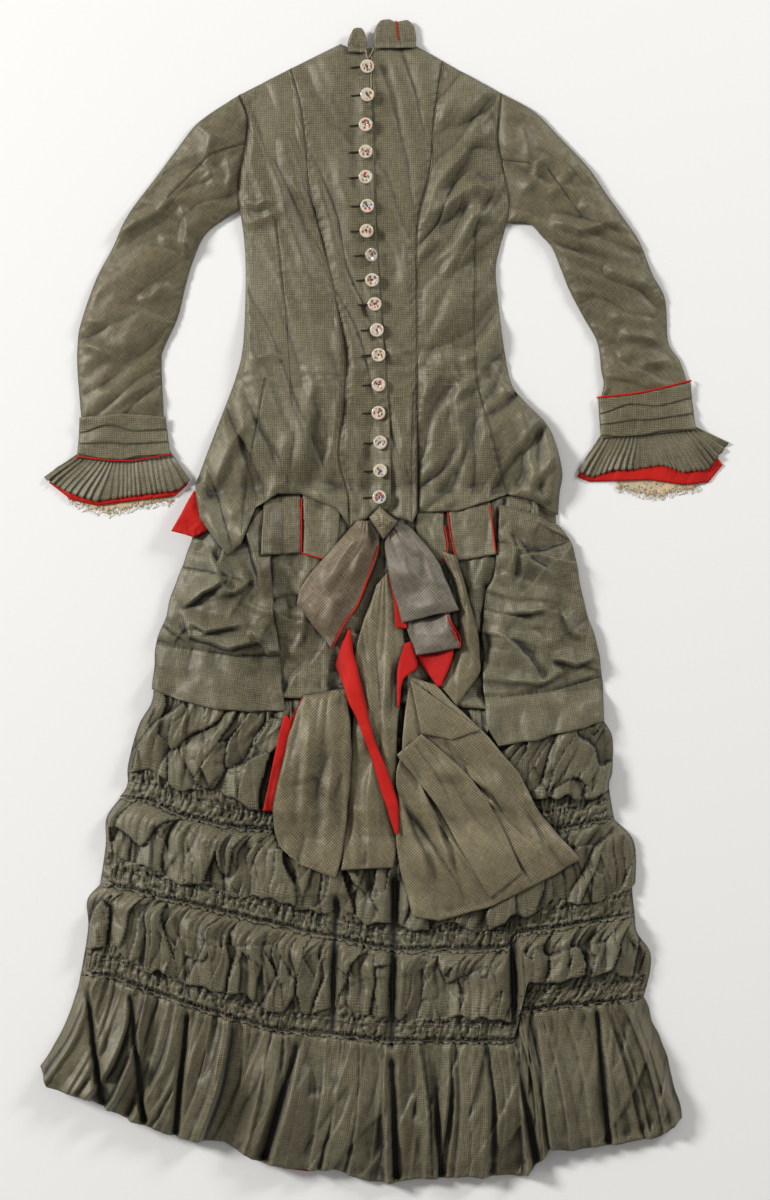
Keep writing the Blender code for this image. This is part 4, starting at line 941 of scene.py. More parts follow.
def plain_silk(name, colour, other, size=90.0):
    """Plain taffeta."""
    material, nodes, shader = start_material(name, Roughness=0.65, Specular_IOR_Level=0.15)
    # patches of another tone, and painted shade in the folds
    toned = use_group(nodes, "ageing", Color=colour, Other=other, Patches=0.8, Depth=0.5)
    nodes.put(shader["Base Color"], toned.outputs["Color"])
    height = use_group(nodes, "crumple", Size=size).outputs["Height"]
    bump = nodes.add("ShaderNodeBump", Strength=0.4, Distance=0.001, Height=height)
    nodes.put(shader["Normal"], bump)
    return material


DARK, DARK_TAN, DARK_ROSE = (0.072, 0.062, 0.035, 1), (0.090, 0.069, 0.041, 1), (0.077, 0.066, 0.046, 1)
# The same checked taffeta in five tones. The bias, tan and rose silks are lighter, warmer copies: painted
# sheen, the tones that the changeable silk shows as light falls on pieces cut on other grains.
SILKS = [checked_silk(*colours) for colours in (
    ("checked_silk", DARK, (0.212, 0.180, 0.098, 1), (0.108, 0.106, 0.074, 1)),
    ("bias_silk", DARK, (0.272, 0.222, 0.120, 1), (0.125, 0.108, 0.066, 1)),
    ("sleeve_silk", DARK, (0.196, 0.162, 0.086, 1), (0.104, 0.092, 0.056, 1)),
    ("tan_silk", DARK_TAN, (0.250, 0.190, 0.116, 1), (0.140, 0.107, 0.072, 1)),
    ("rose_silk", DARK_ROSE, (0.220, 0.189, 0.140, 1), (0.126, 0.109, 0.081, 1)),
)]
# Each cloth is a material and the slot that its pieces go in
SILK_CLOTH = SILKS[0], "checked_silk"
BIAS_CLOTH, SLEEVE_CLOTH, TAN_CLOTH, ROSE_CLOTH = [(silk, "bias_silk") for silk in SILKS[1:]]
RED_CLOTH = plain_silk("scarlet_silk", (0.60, 0.018, 0.010, 1), (0.30, 0.006, 0.006, 1)), "scarlet_silk"
LACE_CLOTH = plain_silk("lace_thread", (0.62, 0.50, 0.33, 1), (0.48, 0.36, 0.22, 1), 200.0), "lace"


def hidden_back(name, kind, patch):
    """A layer of the back that only shows at the edges of what covers it."""
    edge, crown, rise = HIDDEN_FORMS[kind]
    high = edge + (crown - edge) * np.sin(0.5 * np.pi * np.clip(patch.from_edge / rise, 0, 1))
    closed_form(name, patch, high + 0.6 * noise_at(patch.xy, 25.0, 3))


def inset(points, toward):
    """Moves a line toward a place, to keep a hidden back inside what covers it."""
    points = np.array(points, float)
    away = np.array(toward, float) - points
    return points + away / np.hypot(*away.T)[:, None] * HIDDEN_INSET


def build_hidden():
    skirt_side = inset(BACK_SKIRT_RIGHT, (0, -280)), inset(BACK_SKIRT_LEFT, (0, -280))
    hidden_back("back_skirt", "skirt", Patch(*skirt_side, inset(BACK_SKIRT_HEM, (0, -280)),
                                             [skirt_side[0][-1], skirt_side[1][-1]], cell=11))
    right = inset([(-233, 128)] + RIGHT_SIDE[1:] + RIGHT_ARMHOLE[1:], (0, 400))
    left = inset([(217, 128)] + LEFT_SIDE[1:] + LEFT_ARMHOLE[1:], (0, 400))
    top = inset([RIGHT_ARMHOLE[-1], *NECK_BACK, LEFT_ARMHOLE[-1]], (0, 400))
    hidden_back("back_bodice", "bodice", Patch(right, left, [right[0], left[0]], top, cell=10))
    for side, outer, inner, armhole in (
            ("right", RIGHT_SLEEVE_OUTER, RIGHT_SLEEVE_INNER, RIGHT_ARMHOLE[::-1]),
            ("left", LEFT_SLEEVE_INNER, LEFT_SLEEVE_OUTER, LEFT_ARMHOLE)):
        start, end = CUFFS[side]["bottom"][0], CUFFS[side]["bottom"][-1]
        one, two = np.array([start] + outer, float), np.array([end] + inner, float)
        middle = 0.5 * (along(one, np.linspace(0, 1, 20)) + along(two, np.linspace(0, 1, 20)))
        one, two = one + [HIDDEN_INSET, 0.0], two - [HIDDEN_INSET, 0.0]
        one[0, 1] += HIDDEN_INSET
        two[0, 1] += HIDDEN_INSET
        hidden_back(f"under_sleeve_{side}", "sleeve",
                    Patch(one, two, [one[0], two[0]], inset(armhole, middle[12]), cell=8))
    pile.settle()


def crumple(patch, amount, seed=11):
    """Large and small crumpling of a patch, in millimetres."""
    return amount * (rumples(patch.xy, 22.0, seed) + 0.6 * rumples(patch.xy, 9.0, seed + 7))


def build_flounce():
    patch = Patch(RIGHT_FLOUNCE_EDGE, LEFT_FLOUNCE_EDGE, HEM, GATHER_3, cell=1.8, tall_cell=3.0)
    patch.fray(2.0, 50)
    away = patch.tall - patch.v
    height = knife_folds(patch, 20, 22.0, 23, 0.35) + 0.8 * knife_folds(patch, 44, 9.0, 24, 0.4)
    height = height + 2.4 * creases(np.stack([patch.u, patch.v], axis=-1), 90, 24, 210, 27)
    height = height + 2.6 * np.abs(noise(patch.u / 3.3, away / 9.0, 26)) ** 0.7 * bell(away, 9.0)
    height = height + 0.7 * gathers(patch.u, away, 21, 2) + 1.2 * drapes(patch.xy, 84, 20, 130, 25)
    open_part = deep_cut(patch)
    height = np.maximum(height, 0.0) * open_part * smooth(patch.from_side / 14.0 + 0.15)
    # painted shade: near black in the deep folds, and the flounce a little darker all over
    lay_cloth("flounce", patch, height + crumple(patch, 0.5), SILK_CLOTH, follow_folds=True,
              shade=SKIRT_DARKER["flounce"] + 0.8 * (1.0 - open_part) ** 2)
    pile.settle()


def deep_cut(patch):
    """What is left of a cloth's height beside the deep folds: 1 away from them, near 0 in them."""
    kept = np.ones(patch.s.shape)
    for x1, y1, x2, y2, width in DEEP_FOLDS:
        away, share = follow(patch.xy, [(x1, y1), (x2, y2)])
        ends = smooth(share / 0.1) * smooth((1 - share) / 0.06 + 0.3)
        kept *= 1.0 - 0.95 * ends * bell(away, width)
    return kept


def build_tier(number, bottom, top):
    """A shirred band with puffs above it whose lips droop over the band."""
    lowered = [(x, y - 4.0) for x, y in bottom]
    patch = Patch(RIGHT_TIER_EDGES[number - 1], LEFT_TIER_EDGES[number - 1], lowered, top,
                  cell=1.7, tall_cell=2.0)
    seed = 100 * number
    u, v, away = patch.u, patch.v, patch.tall - patch.v
    lip = 33.0 + 9.0 * noise(u / 34.0, 0.3 * v / v.max(), seed) + 4.0 * noise(u / 12.0, 0.7, seed + 1)
    rise = smooth((v - lip) / 5.0)
    settle = smooth((away + 9.0) / (0.42 * (patch.tall - lip))) ** 0.7
    cloth = np.stack([u, v], axis=-1)
    warp = 0.35 * noise(u / 40.0, v / 44.0, seed + 2)
    lean = 0.35 * noise(u / 90.0, 0.0 * v, seed + 7) * v
    inside, slope = facets((u + lean) / 36.0 + warp, v / 96.0 + warp + number, seed + 3)
    small, tilt = facets((u - lean) / 15.0 - warp, v / 74.0 + warp, seed + 5)
    puff = 5.0 + 4.8 * inside + 14.0 * slope + 1.6 * small + 4.6 * tilt
    for angle, across, length, depth, place in (
            (70, 24, 90, 1.8, 15), (106, 18, 80, 1.7, 26), (14, 34, 60, 1.0, 48)):
        puff = puff + depth * creases(cloth, angle, across, length, seed + place)
    puff = np.where(puff > FULL_PUFF, FULL_PUFF + 0.35 * (puff - FULL_PUFF), puff)
    height = rise * settle * np.maximum(puff, 0.5)
    crinkled = np.abs(noise(u / 3.3, away / 9.0, seed + 11)) ** 0.7
    height = height + 0.8 * gathers(u, away, seed + 6, 3) + 2.6 * crinkled * bell(away, 9.0)
    sway = u + 2.0 * noise(u / 20.0, v / 9.0, seed + 12)
    shirr = 5.0 * np.abs(noise(sway / 3.9, v / 19.0, seed + 8)) ** 0.7
    shirr = shirr + 2.4 * np.abs(noise(sway / 8.0, v / 8.0, seed + 9))
    shirr = shirr - 1.6 * bell(v - 7.0, 2.0) - 1.6 * bell(v - 25.0, 2.0)
    near_rows = 1.0 + 1.6 * bell(v - 5.0, 6.0) + 1.6 * bell(v - 26.0, 6.0)
    shirr = shirr + noise(u / 2.9, v / 2.7, seed + 10) * near_rows
    height = height + (1.0 - rise) * shirr * smooth(v / 3.0 + 0.25)
    patch.xy[..., 1] += 2.2 * noise(u / 3.1, 0.0 * v, seed + 13) * bell(v, 5.0)
    open_part = deep_cut(patch)
    kept = open_part * smooth(patch.from_side / 10.0 + 0.2)
    height = np.maximum(height, 0.0) * kept + crumple(patch, 0.35, seed)
    uneven = np.clip(0.7 + 0.7 * noise(u / 14.0, 0.0 * v, seed + 9), 0, 1.2)
    droop = 5.0 * rise * bell(v - lip - 5.0, 7.0) * uneven
    patch.xy[..., 1] -= droop * kept
    # painted shade: near black in the deep folds, and the tier a little darker all over
    lay_cloth(f"puff_tier_{number}", patch, np.maximum(height, 0.0), SILK_CLOTH,
              follow_folds=True, soften=4.0, hug=9.0, shade=SKIRT_DARKER["tier"] + 0.9 * (1.0 - open_part) ** 2)
    pile.settle()


def build_skirt():
    """Flounce, puffed tiers, front breadth and hip draperies, from the lowest up."""
    build_flounce()
    for number, bottom, top in ((3, GATHER_3, GATHER_2), (2, GATHER_2, GATHER_1), (1, GATHER_1, PUFF_TOP)):
        build_tier(number, bottom, top)
    bottom = along([(x, y - 4.0) for x, y in PUFF_TOP], np.linspace(0.1, 0.9, 20))
    panel = band(bottom, FRONT_PANEL_TOP, 2.3)
    lift = folded(panel.xy, FOLDS["front_panel"]) + draped("front_panel", panel) + crumple(panel, 1.0)
    lift = lift + 2.4 * creases(panel.xy, 64, 26, 80, 35) + 2.0 * creases(panel.xy, -12, 30, 90, 38)
    lay_cloth("front_panel", panel, np.maximum(lift, -0.2), SILK_CLOTH)
    pile.settle()
    for name, edges in PANNIERS.items():
        patch = Patch(*edges, cell=1.9)
        patch.fray(1.5, 60)
        above = follow(patch.xy, BANDS[name])[0] + 3.0 * noise(patch.u / 30.0, 0.0 * patch.v, 64)
        pouch = smooth(above / 7.0) * smooth((patch.tall - patch.v) / 26.0 + 0.1)
        soft = 7.0 + 1.4 * drapes(patch.xy, -18, 24, 130, 67) + 1.0 * drapes(patch.xy, 70, 30, 110, 68)
        sharp = 2.0 * creases(patch.xy, -14, 30, 110, 69) + 1.6 * creases(patch.xy, 62, 38, 90, 73)
        lift = pouch * soft + pouch * sharp
        lift = lift + 0.5 * (1.0 - pouch) * creases(patch.xy, 80, 30, 60, 76)
        lift = lift + 1.5 * (1.0 - pouch) * smooth(patch.from_side / 8.0)
        lift = lift + 1.6 * pouch * folded(patch.xy, FOLDS[name]) + crumple(patch, 0.25 + 0.3 * pouch, 31)
        lift = np.maximum(lift + seams(patch.xy, DARTS[name]), -0.5)
        # painted shade: the wearer's right hip drapery darker
        lay_cloth(name, patch, lift, SILK_CLOTH, turn=BAND_TURN[name], shade=SKIRT_DARKER[name])
    pile.settle()


def tear(mesh, patch):
    """Cuts ragged holes in a mesh over a patch, more of them toward its lower edge."""
    middle = 0.25 * (patch.xy[:-1, :-1] + patch.xy[:-1, 1:] + patch.xy[1:, :-1] + patch.xy[1:, 1:])
    torn = noise(middle[..., 0] / 3.0, middle[..., 1] / 2.2, 9) + 0.9 * bell(patch.v[:-1, :-1], 3.5) > 0.62
    form = bmesh.new()
    form.from_mesh(mesh)
    form.faces.ensure_lookup_table()
    bmesh.ops.delete(form, geom=[form.faces[k] for k in np.flatnonzero(torn)], context="FACES")
    form.to_mesh(mesh)
    form.free()


def build_wrists():
    """Lace, scarlet frill and pleated ruffle at each wrist, one on the other."""
    for side in ("right", "left"):
        wrist = CUFFS[side]["bottom"]
        (start_x, start_y), (end_x, end_y) = wrist[0], wrist[-1]
        edge = LACE_EDGES[side]
        patch = band(edge, [(edge[0][0] + 6, start_y - 28), (edge[-1][0] - 6, end_y - 28)], 1.4, 1.6)
        lift = 1.2 * np.abs(noise(patch.u / 6.0, patch.v / 30.0, 4))
        piece = lay_cloth(f"lace_{side}", patch, lift, LACE_CLOTH, roll=0.3)
        tear(piece.data, patch)
        pile.settle()
        ends = along(edge, np.linspace(0.02, 0.98, 20))
        random = np.random.RandomState(len(side))
        curls = [[tuple(end + (random.uniform(-3.5, 3.5), 8.0 - 4.0 * k + random.uniform(-2, 2)))
                  for k in range(4)] for end in ends]
        join_tubes(f"lace_{side}_threads", sewn_on(curls, above=0.5, step=1.2), 0.45, LACE_THREAD)
        patch = band(FRILL_EDGES[side], [(start_x - 8, start_y - 8), (end_x + 8, end_y - 8)], 1.5, 2.2)
        away = patch.tall - patch.v
        lift = gathers(patch.u, away, 14, 2) * 0.9 + 0.5
        lay_cloth(f"red_frill_{side}", patch, lift, RED_CLOTH, roll=0.4)
        pile.settle()
        patch = band(RUFFLE_EDGES[side], [(start_x, start_y + 4), (end_x, end_y + 4)], 0.9, 2.4)
        turn = patch.s * PLEATS[side] + 1.1 * noise(patch.s * 6.0, patch.t * 0.9, 24)
        pleat = turn % 1.0
        opened = 1.0 - patch.t
        uneven = 0.75 + 0.55 * noise(np.floor(turn) * 0.7, 0.0 * turn, 26)
        lift = 5.2 * uneven * pleat ** 1.3 * smooth((1.0 - pleat) / 0.22) * (0.3 + 0.7 * opened)
        scallop = np.sin(np.pi * pleat) ** 0.6 - 0.5 + 0.5 * noise(patch.s * 14.0, 0.0 * patch.t, 25)
        patch.xy[..., 1] -= 2.6 * scallop * opened ** 4 * smooth(patch.from_side / 6.0)
        lift = lift + crumple(patch, 0.25)
        lay_cloth(f"ruffle_{side}", patch, lift, SILK_CLOTH, roll=0.4, follow_folds=True)
        pile.settle()


def build_tabs():
    for name in ("tab_right_outer", "tab_right_inner", "tab_left_outer", "tab_left_inner"):
        patch = loose_patch(name, 2.0)
        lift = folded(patch.xy, FOLDS.get(name, ())) + crumple(patch, 0.9, 41) + 1.0
        lay_cloth(name, patch, lift, SILK_CLOTH)
    patch = loose_patch("sash_tip", 2.0)
    lay_cloth("sash_tip", patch, 1.0 + crumple(patch, 1.5, 43), RED_CLOTH, laps=6.0)
    pile.settle()


def loose_patch(name, cell):
    patch = strip(*LOOSE_PIECES[name], cell, LOOSE_HEMS.get(name))
    patch.fray(1.0, 70 + len(name))
    return patch


def draped(name, patch):
    """The soft folds of a piece, fading out at its edges."""
    angle, across, length, amount = DRAPES[name]
    folds = amount * drapes(patch.xy, angle, across, length, 300 + len(name))
    return (folds + 0.3 * amount) * smooth(patch.from_edge / 16.0 + 0.25)


def build_bodice():
    """Fronts, sleeves, collar and cuffs; the right front laps over the left."""
    def lay(name, patch, cloth=SILK_CLOTH, turn=0.0):
        lift = 1.2 * folded(patch.xy, FOLDS[name]) + seams(patch.xy, DARTS.get(name, ()))
        lift = lift + crumple(patch, 0.4, 19)
        pucker = np.abs(noise(patch.v / 6.0, patch.from_side / 18.0, 88)) ** 0.7
        lift = lift + 1.6 * (pucker - 0.4) * bell(patch.from_side - 5.0, 8.0) + draped(name, patch)
        angle, across, length, amount = DRAPES[name]
        steps = creases(patch.xy, angle, 1.4 * across, 0.8 * length, 400 + len(name), 0.22)
        lift = lift + 0.45 * amount * steps * smooth(patch.from_edge / 12.0 + 0.2)
        if "front" in name:
            flare = smooth((WAIST - patch.xy[..., 1]) / 90.0)
            flutes = drapes(patch.xy, 86 + 0.05 * patch.xy[..., 0].mean(), FLUTE, 260, 91)
            crease = np.abs(noise(patch.xy[..., 0] / 26.0, patch.xy[..., 1] / 7.0, 92))
            crease = crease * bell(patch.xy[..., 1] - WAIST - 22, 22)
            rise = 4.2 if "right" in name else 6.4
            lift = lift + rise * flare * (flutes + 0.3) - 1.6 * crease
        if name in BIAS_SIDES:
            past = follow(patch.xy, DARTS[name][-1])[0] * BIAS_SIDES[name]
            turn = np.where(past > 0, 42.0 * BIAS_SIDES[name], 0.0) * (patch.xy[..., 1] < 300)
        lay_cloth(name, patch, np.maximum(lift, -0.6), cloth, turn=turn)
    lay("side_front_left", strip(LEFT_PRINCESS, LEFT_SIDE + LEFT_ARMHOLE[1:], bottom=LEFT_SIDE_HEM))
    lay("front_left", strip(LEFT_FRONT_EDGE, LEFT_PRINCESS, bottom=FRONT_LEFT_HEM, top=SHOULDER_LEFT))
    lay("sleeve_left", strip(LEFT_SLEEVE_INNER, LEFT_SLEEVE_OUTER, top=LEFT_ARMHOLE), SLEEVE_CLOTH, 40)
    pile.settle()
    lay("side_front_right", strip(RIGHT_SIDE + RIGHT_ARMHOLE[1:], RIGHT_PRINCESS, bottom=RIGHT_SIDE_HEM))
    lay("front_right", strip(RIGHT_PRINCESS, RIGHT_FRONT_EDGE, top=SHOULDER_RIGHT))
    lay("sleeve_right", strip(RIGHT_SLEEVE_OUTER, RIGHT_SLEEVE_INNER, top=RIGHT_ARMHOLE[::-1]),
        SLEEVE_CLOTH, -40)
    pile.settle()
    for name, (foot, head) in COLLARS.items():
        sides = []
        for k, out in ((0, -2), (-1, 2)):
            bulge = (0.5 * (foot[k][0] + head[k][0]) + out, 0.5 * (foot[k][1] + head[k][1]))
            sides.append([foot[k], bulge, head[k]])
        patch = Patch(*sides, foot, head, cell=1.4, top_curved=True)
        lift = 1.6 + 1.8 * np.abs(noise(patch.u / 6.0, patch.v / 24.0, 17)) + crumple(patch, 0.5)
        lay_cloth(name, patch, lift, SILK_CLOTH, laps=5.0)
    for side, lines in CUFFS.items():
        patch = band(lines["bottom"], lines["top"], 1.6, 0.8)
        tuck = (patch.t * 3.0 + 0.3 * noise(patch.s * 3.0, patch.t * 1.5, 5)) % 1.0
        lift = 2.6 * (1.0 - tuck) * smooth(tuck / 0.12) + crumple(patch, 0.4) + 0.8
        lay_cloth(f"cuff_{side}", patch, lift, SILK_CLOTH)
    pile.settle()


# Pieces of the bow that aren't of the bias silk
BOW_CLOTHS = {"red_ribbon_right": RED_CLOTH, "red_ribbon_left": RED_CLOTH, "bow_red_flap": RED_CLOTH,
              "bow_loop_right": TAN_CLOTH, "bow_loop_left": ROSE_CLOTH, "bow_under_loop": ROSE_CLOTH}


def build_bow():
    """Sash tails, scarlet facings, loops and knot, from the lowest up."""
    def lay(name, crown=0.0):
        patch = loose_patch(name, 1.8)
        lift = 1.5 * folded(patch.xy, FOLDS.get(name, ())) + crumple(patch, 0.35, 57) + 0.8
        lift = lift + crown * smooth(patch.from_side / (0.5 * patch.wide) * 1.2) * smooth(patch.t / 0.12)
        pinch = 3.0 * np.abs(noise(patch.s * 6.0, patch.t * 1.2, 33)) * smooth((patch.t - 0.4) / 0.5)
        if name in DRAPES:
            angle, across, length, amount = DRAPES[name]
            steps = creases(patch.xy, angle, 1.5 * across, length, 330 + len(name))
            lift = lift + draped(name, patch) + 0.55 * amount * steps * smooth(patch.from_edge / 10.0 + 0.2)
        lay_cloth(name, patch, lift + pinch, BOW_CLOTHS.get(name, BIAS_CLOTH), turn=45, soften=15.0)
    lay("sash_tail_centre")
    lay("bow_back_loop", 4.0)
    pile.settle()
    lay("sash_tail_right")
    lay("sash_tail_left")
    lay("bow_red_flap")
    pile.settle()
    for number, (left, right) in enumerate(TAIL_LAYERS):
        patch = strip(left, right, 1.8)
        lift = 1.5 + 2.0 * drapes(patch.xy, -58, 14, 110, 71) + crumple(patch, 0.3, 72)
        lay_cloth(f"tail_layer_{number + 1}", patch, np.maximum(lift, 0.0), BIAS_CLOTH,
                  turn=52 - 90 * number, extra=True)
    pile.settle()
    lay("red_ribbon_right")
    lay("red_ribbon_left")
    lay("bow_under_loop", 3.0)
    pile.settle()
    build_facings(["facing_bow"])
    lay("bow_loop_right", 6.0)
    lay("bow_loop_left", 6.0)
    pile.settle()
    patch = loose_patch("bow_knot", 1.2)
    base = pile.sample(pile.softened(8.0), patch.xy).max() - 1.0
    arch = np.sin(np.pi * patch.s) ** 0.6 * np.sin(np.pi * patch.t) ** 0.6
    ribs = 2.4 * np.abs(noise(patch.s * 5.0, patch.t, 61)) + 2.8 * rumples(patch.xy, 6.5, 62)
    high = base + 2.0 + (8.0 + ribs) * arch
    mesh = build_mesh("bow_knot_cloth", patch.xy, high, patch.xy, fold_depth(high))
    piece = add_piece("bow_knot_cloth", mesh, BIAS_CLOTH, ("bow_knot",), wall=1.4)
    pile.lay(patch.xy, high)
    pile.settle()


def tube(points, radius):
    """Vertices and faces of a closed tube along a path given in metres."""
    sides = TUBE_SIDES
    points = np.array(points, float)
    way = np.gradient(points, axis=0)
    way /= np.linalg.norm(way, axis=1)[:, None] + 1e-12
    side = np.cross(way, (0.0, 0.0, 1.0))
    side /= np.linalg.norm(side, axis=1)[:, None] + 1e-12
    up = np.cross(side, way)
    turn = np.arange(sides) * 2.0 * math.pi / sides
    ring = np.cos(turn)[None, :, None] * side[:, None] + np.sin(turn)[None, :, None] * up[:, None]
    verts = (points[:, None] + radius * ring).reshape(-1, 3)
    faces = []
    for k in range(len(points) - 1):
        for n in range(sides):
            m = (n + 1) % sides
            faces.append((k * sides + n, k * sides + m, (k + 1) * sides + m, (k + 1) * sides + n))
    faces += [tuple(range(sides))[::-1], tuple((len(points) - 1) * sides + n for n in range(sides))]
    return verts, faces


def sewn_on(paths, above, step=2.0, curved=True):
    """Paths laid on the cloth, as points in metres."""
    laid = []
    for path in paths:
        count = max(int(line_length(path) / step), 2)
        laid.append(pile.on_top(along(path, np.linspace(0, 1, count + 1), curved), above))
    return laid


def join_tubes(name, paths, radius, cloth):
    """One piece of all the tubes along paths given in metres."""
    verts, faces = [], []
    for path in paths:
        points, quads = tube(path, radius * MM)
        start = sum(len(v) for v in verts)
        verts.append(points)
        faces += [tuple(start + k for k in quad) for quad in quads]
    mesh = bpy.data.meshes.new(name)
    mesh.from_pydata(np.vstack(verts).tolist(), [], faces)
    form = bmesh.new()
    form.from_mesh(mesh)
    bmesh.ops.recalc_face_normals(form, faces=form.faces[:])
    form.to_mesh(mesh)
    form.free()
    mesh.attributes.new("fold_depth", "FLOAT", "POINT")
    mesh.shade_smooth()
    add_piece(name, mesh, cloth, wall=0)


def stitch_tree():
    """Short stitches laid end to end along the edges of a mesh."""
    tree = bpy.data.node_groups.new("running_stitch", "GeometryNodeTree")
    face = tree.interface
    face.new_socket(name="Paths", in_out="INPUT", socket_type="NodeSocketGeometry")
    sizes = {}
    for label, value in (("Pitch", 0.005), ("Length", 0.003), ("Thickness", 0.0006)):
        socket = face.new_socket(name=label, in_out="INPUT", socket_type="NodeSocketFloat")
        socket.default_value = value
        sizes[label] = socket.identifier
    socket = face.new_socket(name="Thread", in_out="INPUT", socket_type="NodeSocketMaterial")
    sizes["Thread"] = socket.identifier
    face.new_socket(name="Stitches", in_out="OUTPUT", socket_type="NodeSocketGeometry")
    start, end, curve, even, ball, size, way, turn, place, real, paint = [tree.nodes.new(kind) for kind in (
        "NodeGroupInput", "NodeGroupOutput", "GeometryNodeMeshToCurve", "GeometryNodeResampleCurve",
        "GeometryNodeMeshUVSphere", "ShaderNodeCombineXYZ", "GeometryNodeInputTangent",
        "FunctionNodeAlignRotationToVector", "GeometryNodeInstanceOnPoints",
        "GeometryNodeRealizeInstances", "GeometryNodeSetMaterial")]
    even.mode = "LENGTH"
    turn.axis = "X"
    for label, value in (("Segments", 6), ("Rings", 4), ("Radius", 0.5)):
        ball.inputs[label].default_value = value
    given = start.outputs
    for output, socket in (
            (given["Paths"], curve.inputs[0]), (curve.outputs[0], even.inputs["Curve"]),
            (given["Pitch"], even.inputs["Length"]), (given["Length"], size.inputs[0]),
            (given["Thickness"], size.inputs[1]), (given["Thickness"], size.inputs[2]),
            (way.outputs[0], turn.inputs["Vector"]), (even.outputs[0], place.inputs["Points"]),
            (ball.outputs["Mesh"], place.inputs["Instance"]), (turn.outputs[0], place.inputs["Rotation"]),
            (size.outputs[0], place.inputs["Scale"]), (place.outputs[0], real.inputs[0]),
            (real.outputs[0], paint.inputs["Geometry"]), (given["Thread"], paint.inputs["Material"]),
            (paint.outputs[0], end.inputs[0])):
        tree.links.new(output, socket)
    return tree, sizes


def stitches(name, paths, thread, pitch, length, thick):
    """Rows of stitches along paths given in metres, as one plain mesh."""
    tree, sizes = STITCH_TREE
    values = {"Pitch": pitch * MM, "Length": length * MM, "Thickness": thick * MM, "Thread": thread[0]}
    verts, edges = [], []
    for path in paths:
        start = len(verts)
        verts += [tuple(point) for point in path]
        edges += [(start + k, start + k + 1) for k in range(len(path) - 1)]
    lines = bpy.data.meshes.new(name + "_paths")
    lines.from_pydata(verts, edges, [])
    carrier = add_object(name + "_paths", lines)
    sewn = carrier.modifiers.new("sewn", "NODES")
    sewn.node_group = tree
    for label, value in values.items():
        sewn[sizes[label]] = value
    bpy.context.view_layer.update()
    graph = bpy.context.evaluated_depsgraph_get()
    mesh = bpy.data.meshes.new_from_object(carrier.evaluated_get(graph))
    carrier.modifiers.remove(sewn)
    bpy.data.objects.remove(carrier, do_unlink=True)
    mesh.materials.clear()
    mesh.shade_smooth()
    add_piece(name, mesh, thread, wall=0)


def china_material():
    """Glazed white button with small coloured dabs, a dark centre and a worn rim."""
    material, nodes, shader = start_material("painted_china", Roughness=0.18, Coat_Weight=0.5)
    place = nodes.add("ShaderNodeUVMap", uv_map="weave")
    radius = nodes.add("ShaderNodeAttribute", output=2, attribute_name="from_centre")
    dabs = nodes.tree.nodes.new("ShaderNodeTexVoronoi")
    nodes.put(dabs.inputs["Vector"], nodes.add("ShaderNodeMapping", Vector=place, Scale=(1.0, 0.72, 1.0)))
    dabs.inputs["Scale"].default_value = 330.0
    pick = nodes.tree.nodes.new("ShaderNodeSeparateColor")
    nodes.put(pick.inputs[0], dabs.outputs["Color"])
    paint = nodes.tree.nodes.new("ShaderNodeValToRGB")
    nodes.put(paint.inputs[0], pick.outputs[0])
    ramp = paint.color_ramp
    ramp.interpolation = "CONSTANT"
    ramp.elements[0].color, ramp.elements[1].color = (0.46, 0.035, 0.025, 1), (0.30, 0.12, 0.04, 1)
    ramp.elements[1].position = 0.78
    for share, colour in ((0.34, (0.05, 0.16, 0.09, 1)), (0.56, (0.05, 0.08, 0.20, 1))):
        ramp.elements.new(share).color = colour
    spot = nodes.ramp(dabs.outputs["Distance"], 0.42, 0.60, 1.0, 0.0)
    chosen = nodes.math("GREATER_THAN", pick.outputs[1], 0.14)
    inner = nodes.ramp(radius, 0.0068, 0.0060)
    mask = nodes.math("MULTIPLY", nodes.math("MULTIPLY", spot, chosen), inner)
    colour = nodes.mix(mask, (0.60, 0.53, 0.41, 1), paint.outputs[0])
    centre = nodes.ramp(radius, 0.0016, 0.0010)
    colour = nodes.mix(centre, colour, (0.03, 0.02, 0.015, 1))
    rim = nodes.ramp(radius, 0.0079, 0.0088, end=0.85)
    nodes.put(shader["Base Color"], nodes.mix(rim, colour, (0.17, 0.12, 0.05, 1)))
    return material


def thread(name, colour):
    """Matt thread, with the slot that it goes in."""
    material, nodes, shader = start_material(name, Roughness=0.75)
    tone = nodes.grain(nodes.object_place(), 900.0)
    darker, lighter = [[share * c for c in colour] + [1] for share in (0.55, 1.3)]
    nodes.put(shader["Base Color"], nodes.mix(tone, darker, lighter))
    return material, "checked_silk"


STITCH_TREE = stitch_tree()
CHINA = china_material(), "button"
BROWN_THREAD = thread("brown_thread", (0.055, 0.030, 0.014))
BLACK_THREAD = thread("black_thread", (0.022, 0.020, 0.016))
CREAM_THREAD = thread("cream_thread", (0.52, 0.42, 0.26))
LACE_THREAD = CREAM_THREAD[0], "lace"

# Outline that a button is turned from, radius and height, from the middle of its front
BUTTON_TURNED = [(0.0, 1.9), (1.2, 1.9), (1.6, 2.3), (4.6, 2.5), (5.6, 2.9), (7.6, 3.2), (8.6, 2.7),
                 (9.0, 1.8), (8.6, 0.8), (7.0, 0.2), (0.0, 0.0)]
BUTTON_SIDES = 28
TILTED = 7                    # the eighth button stands on its side a little
BUTTONHOLE = (-20.0, -8.5)    # where a buttonhole begins and ends beside its button


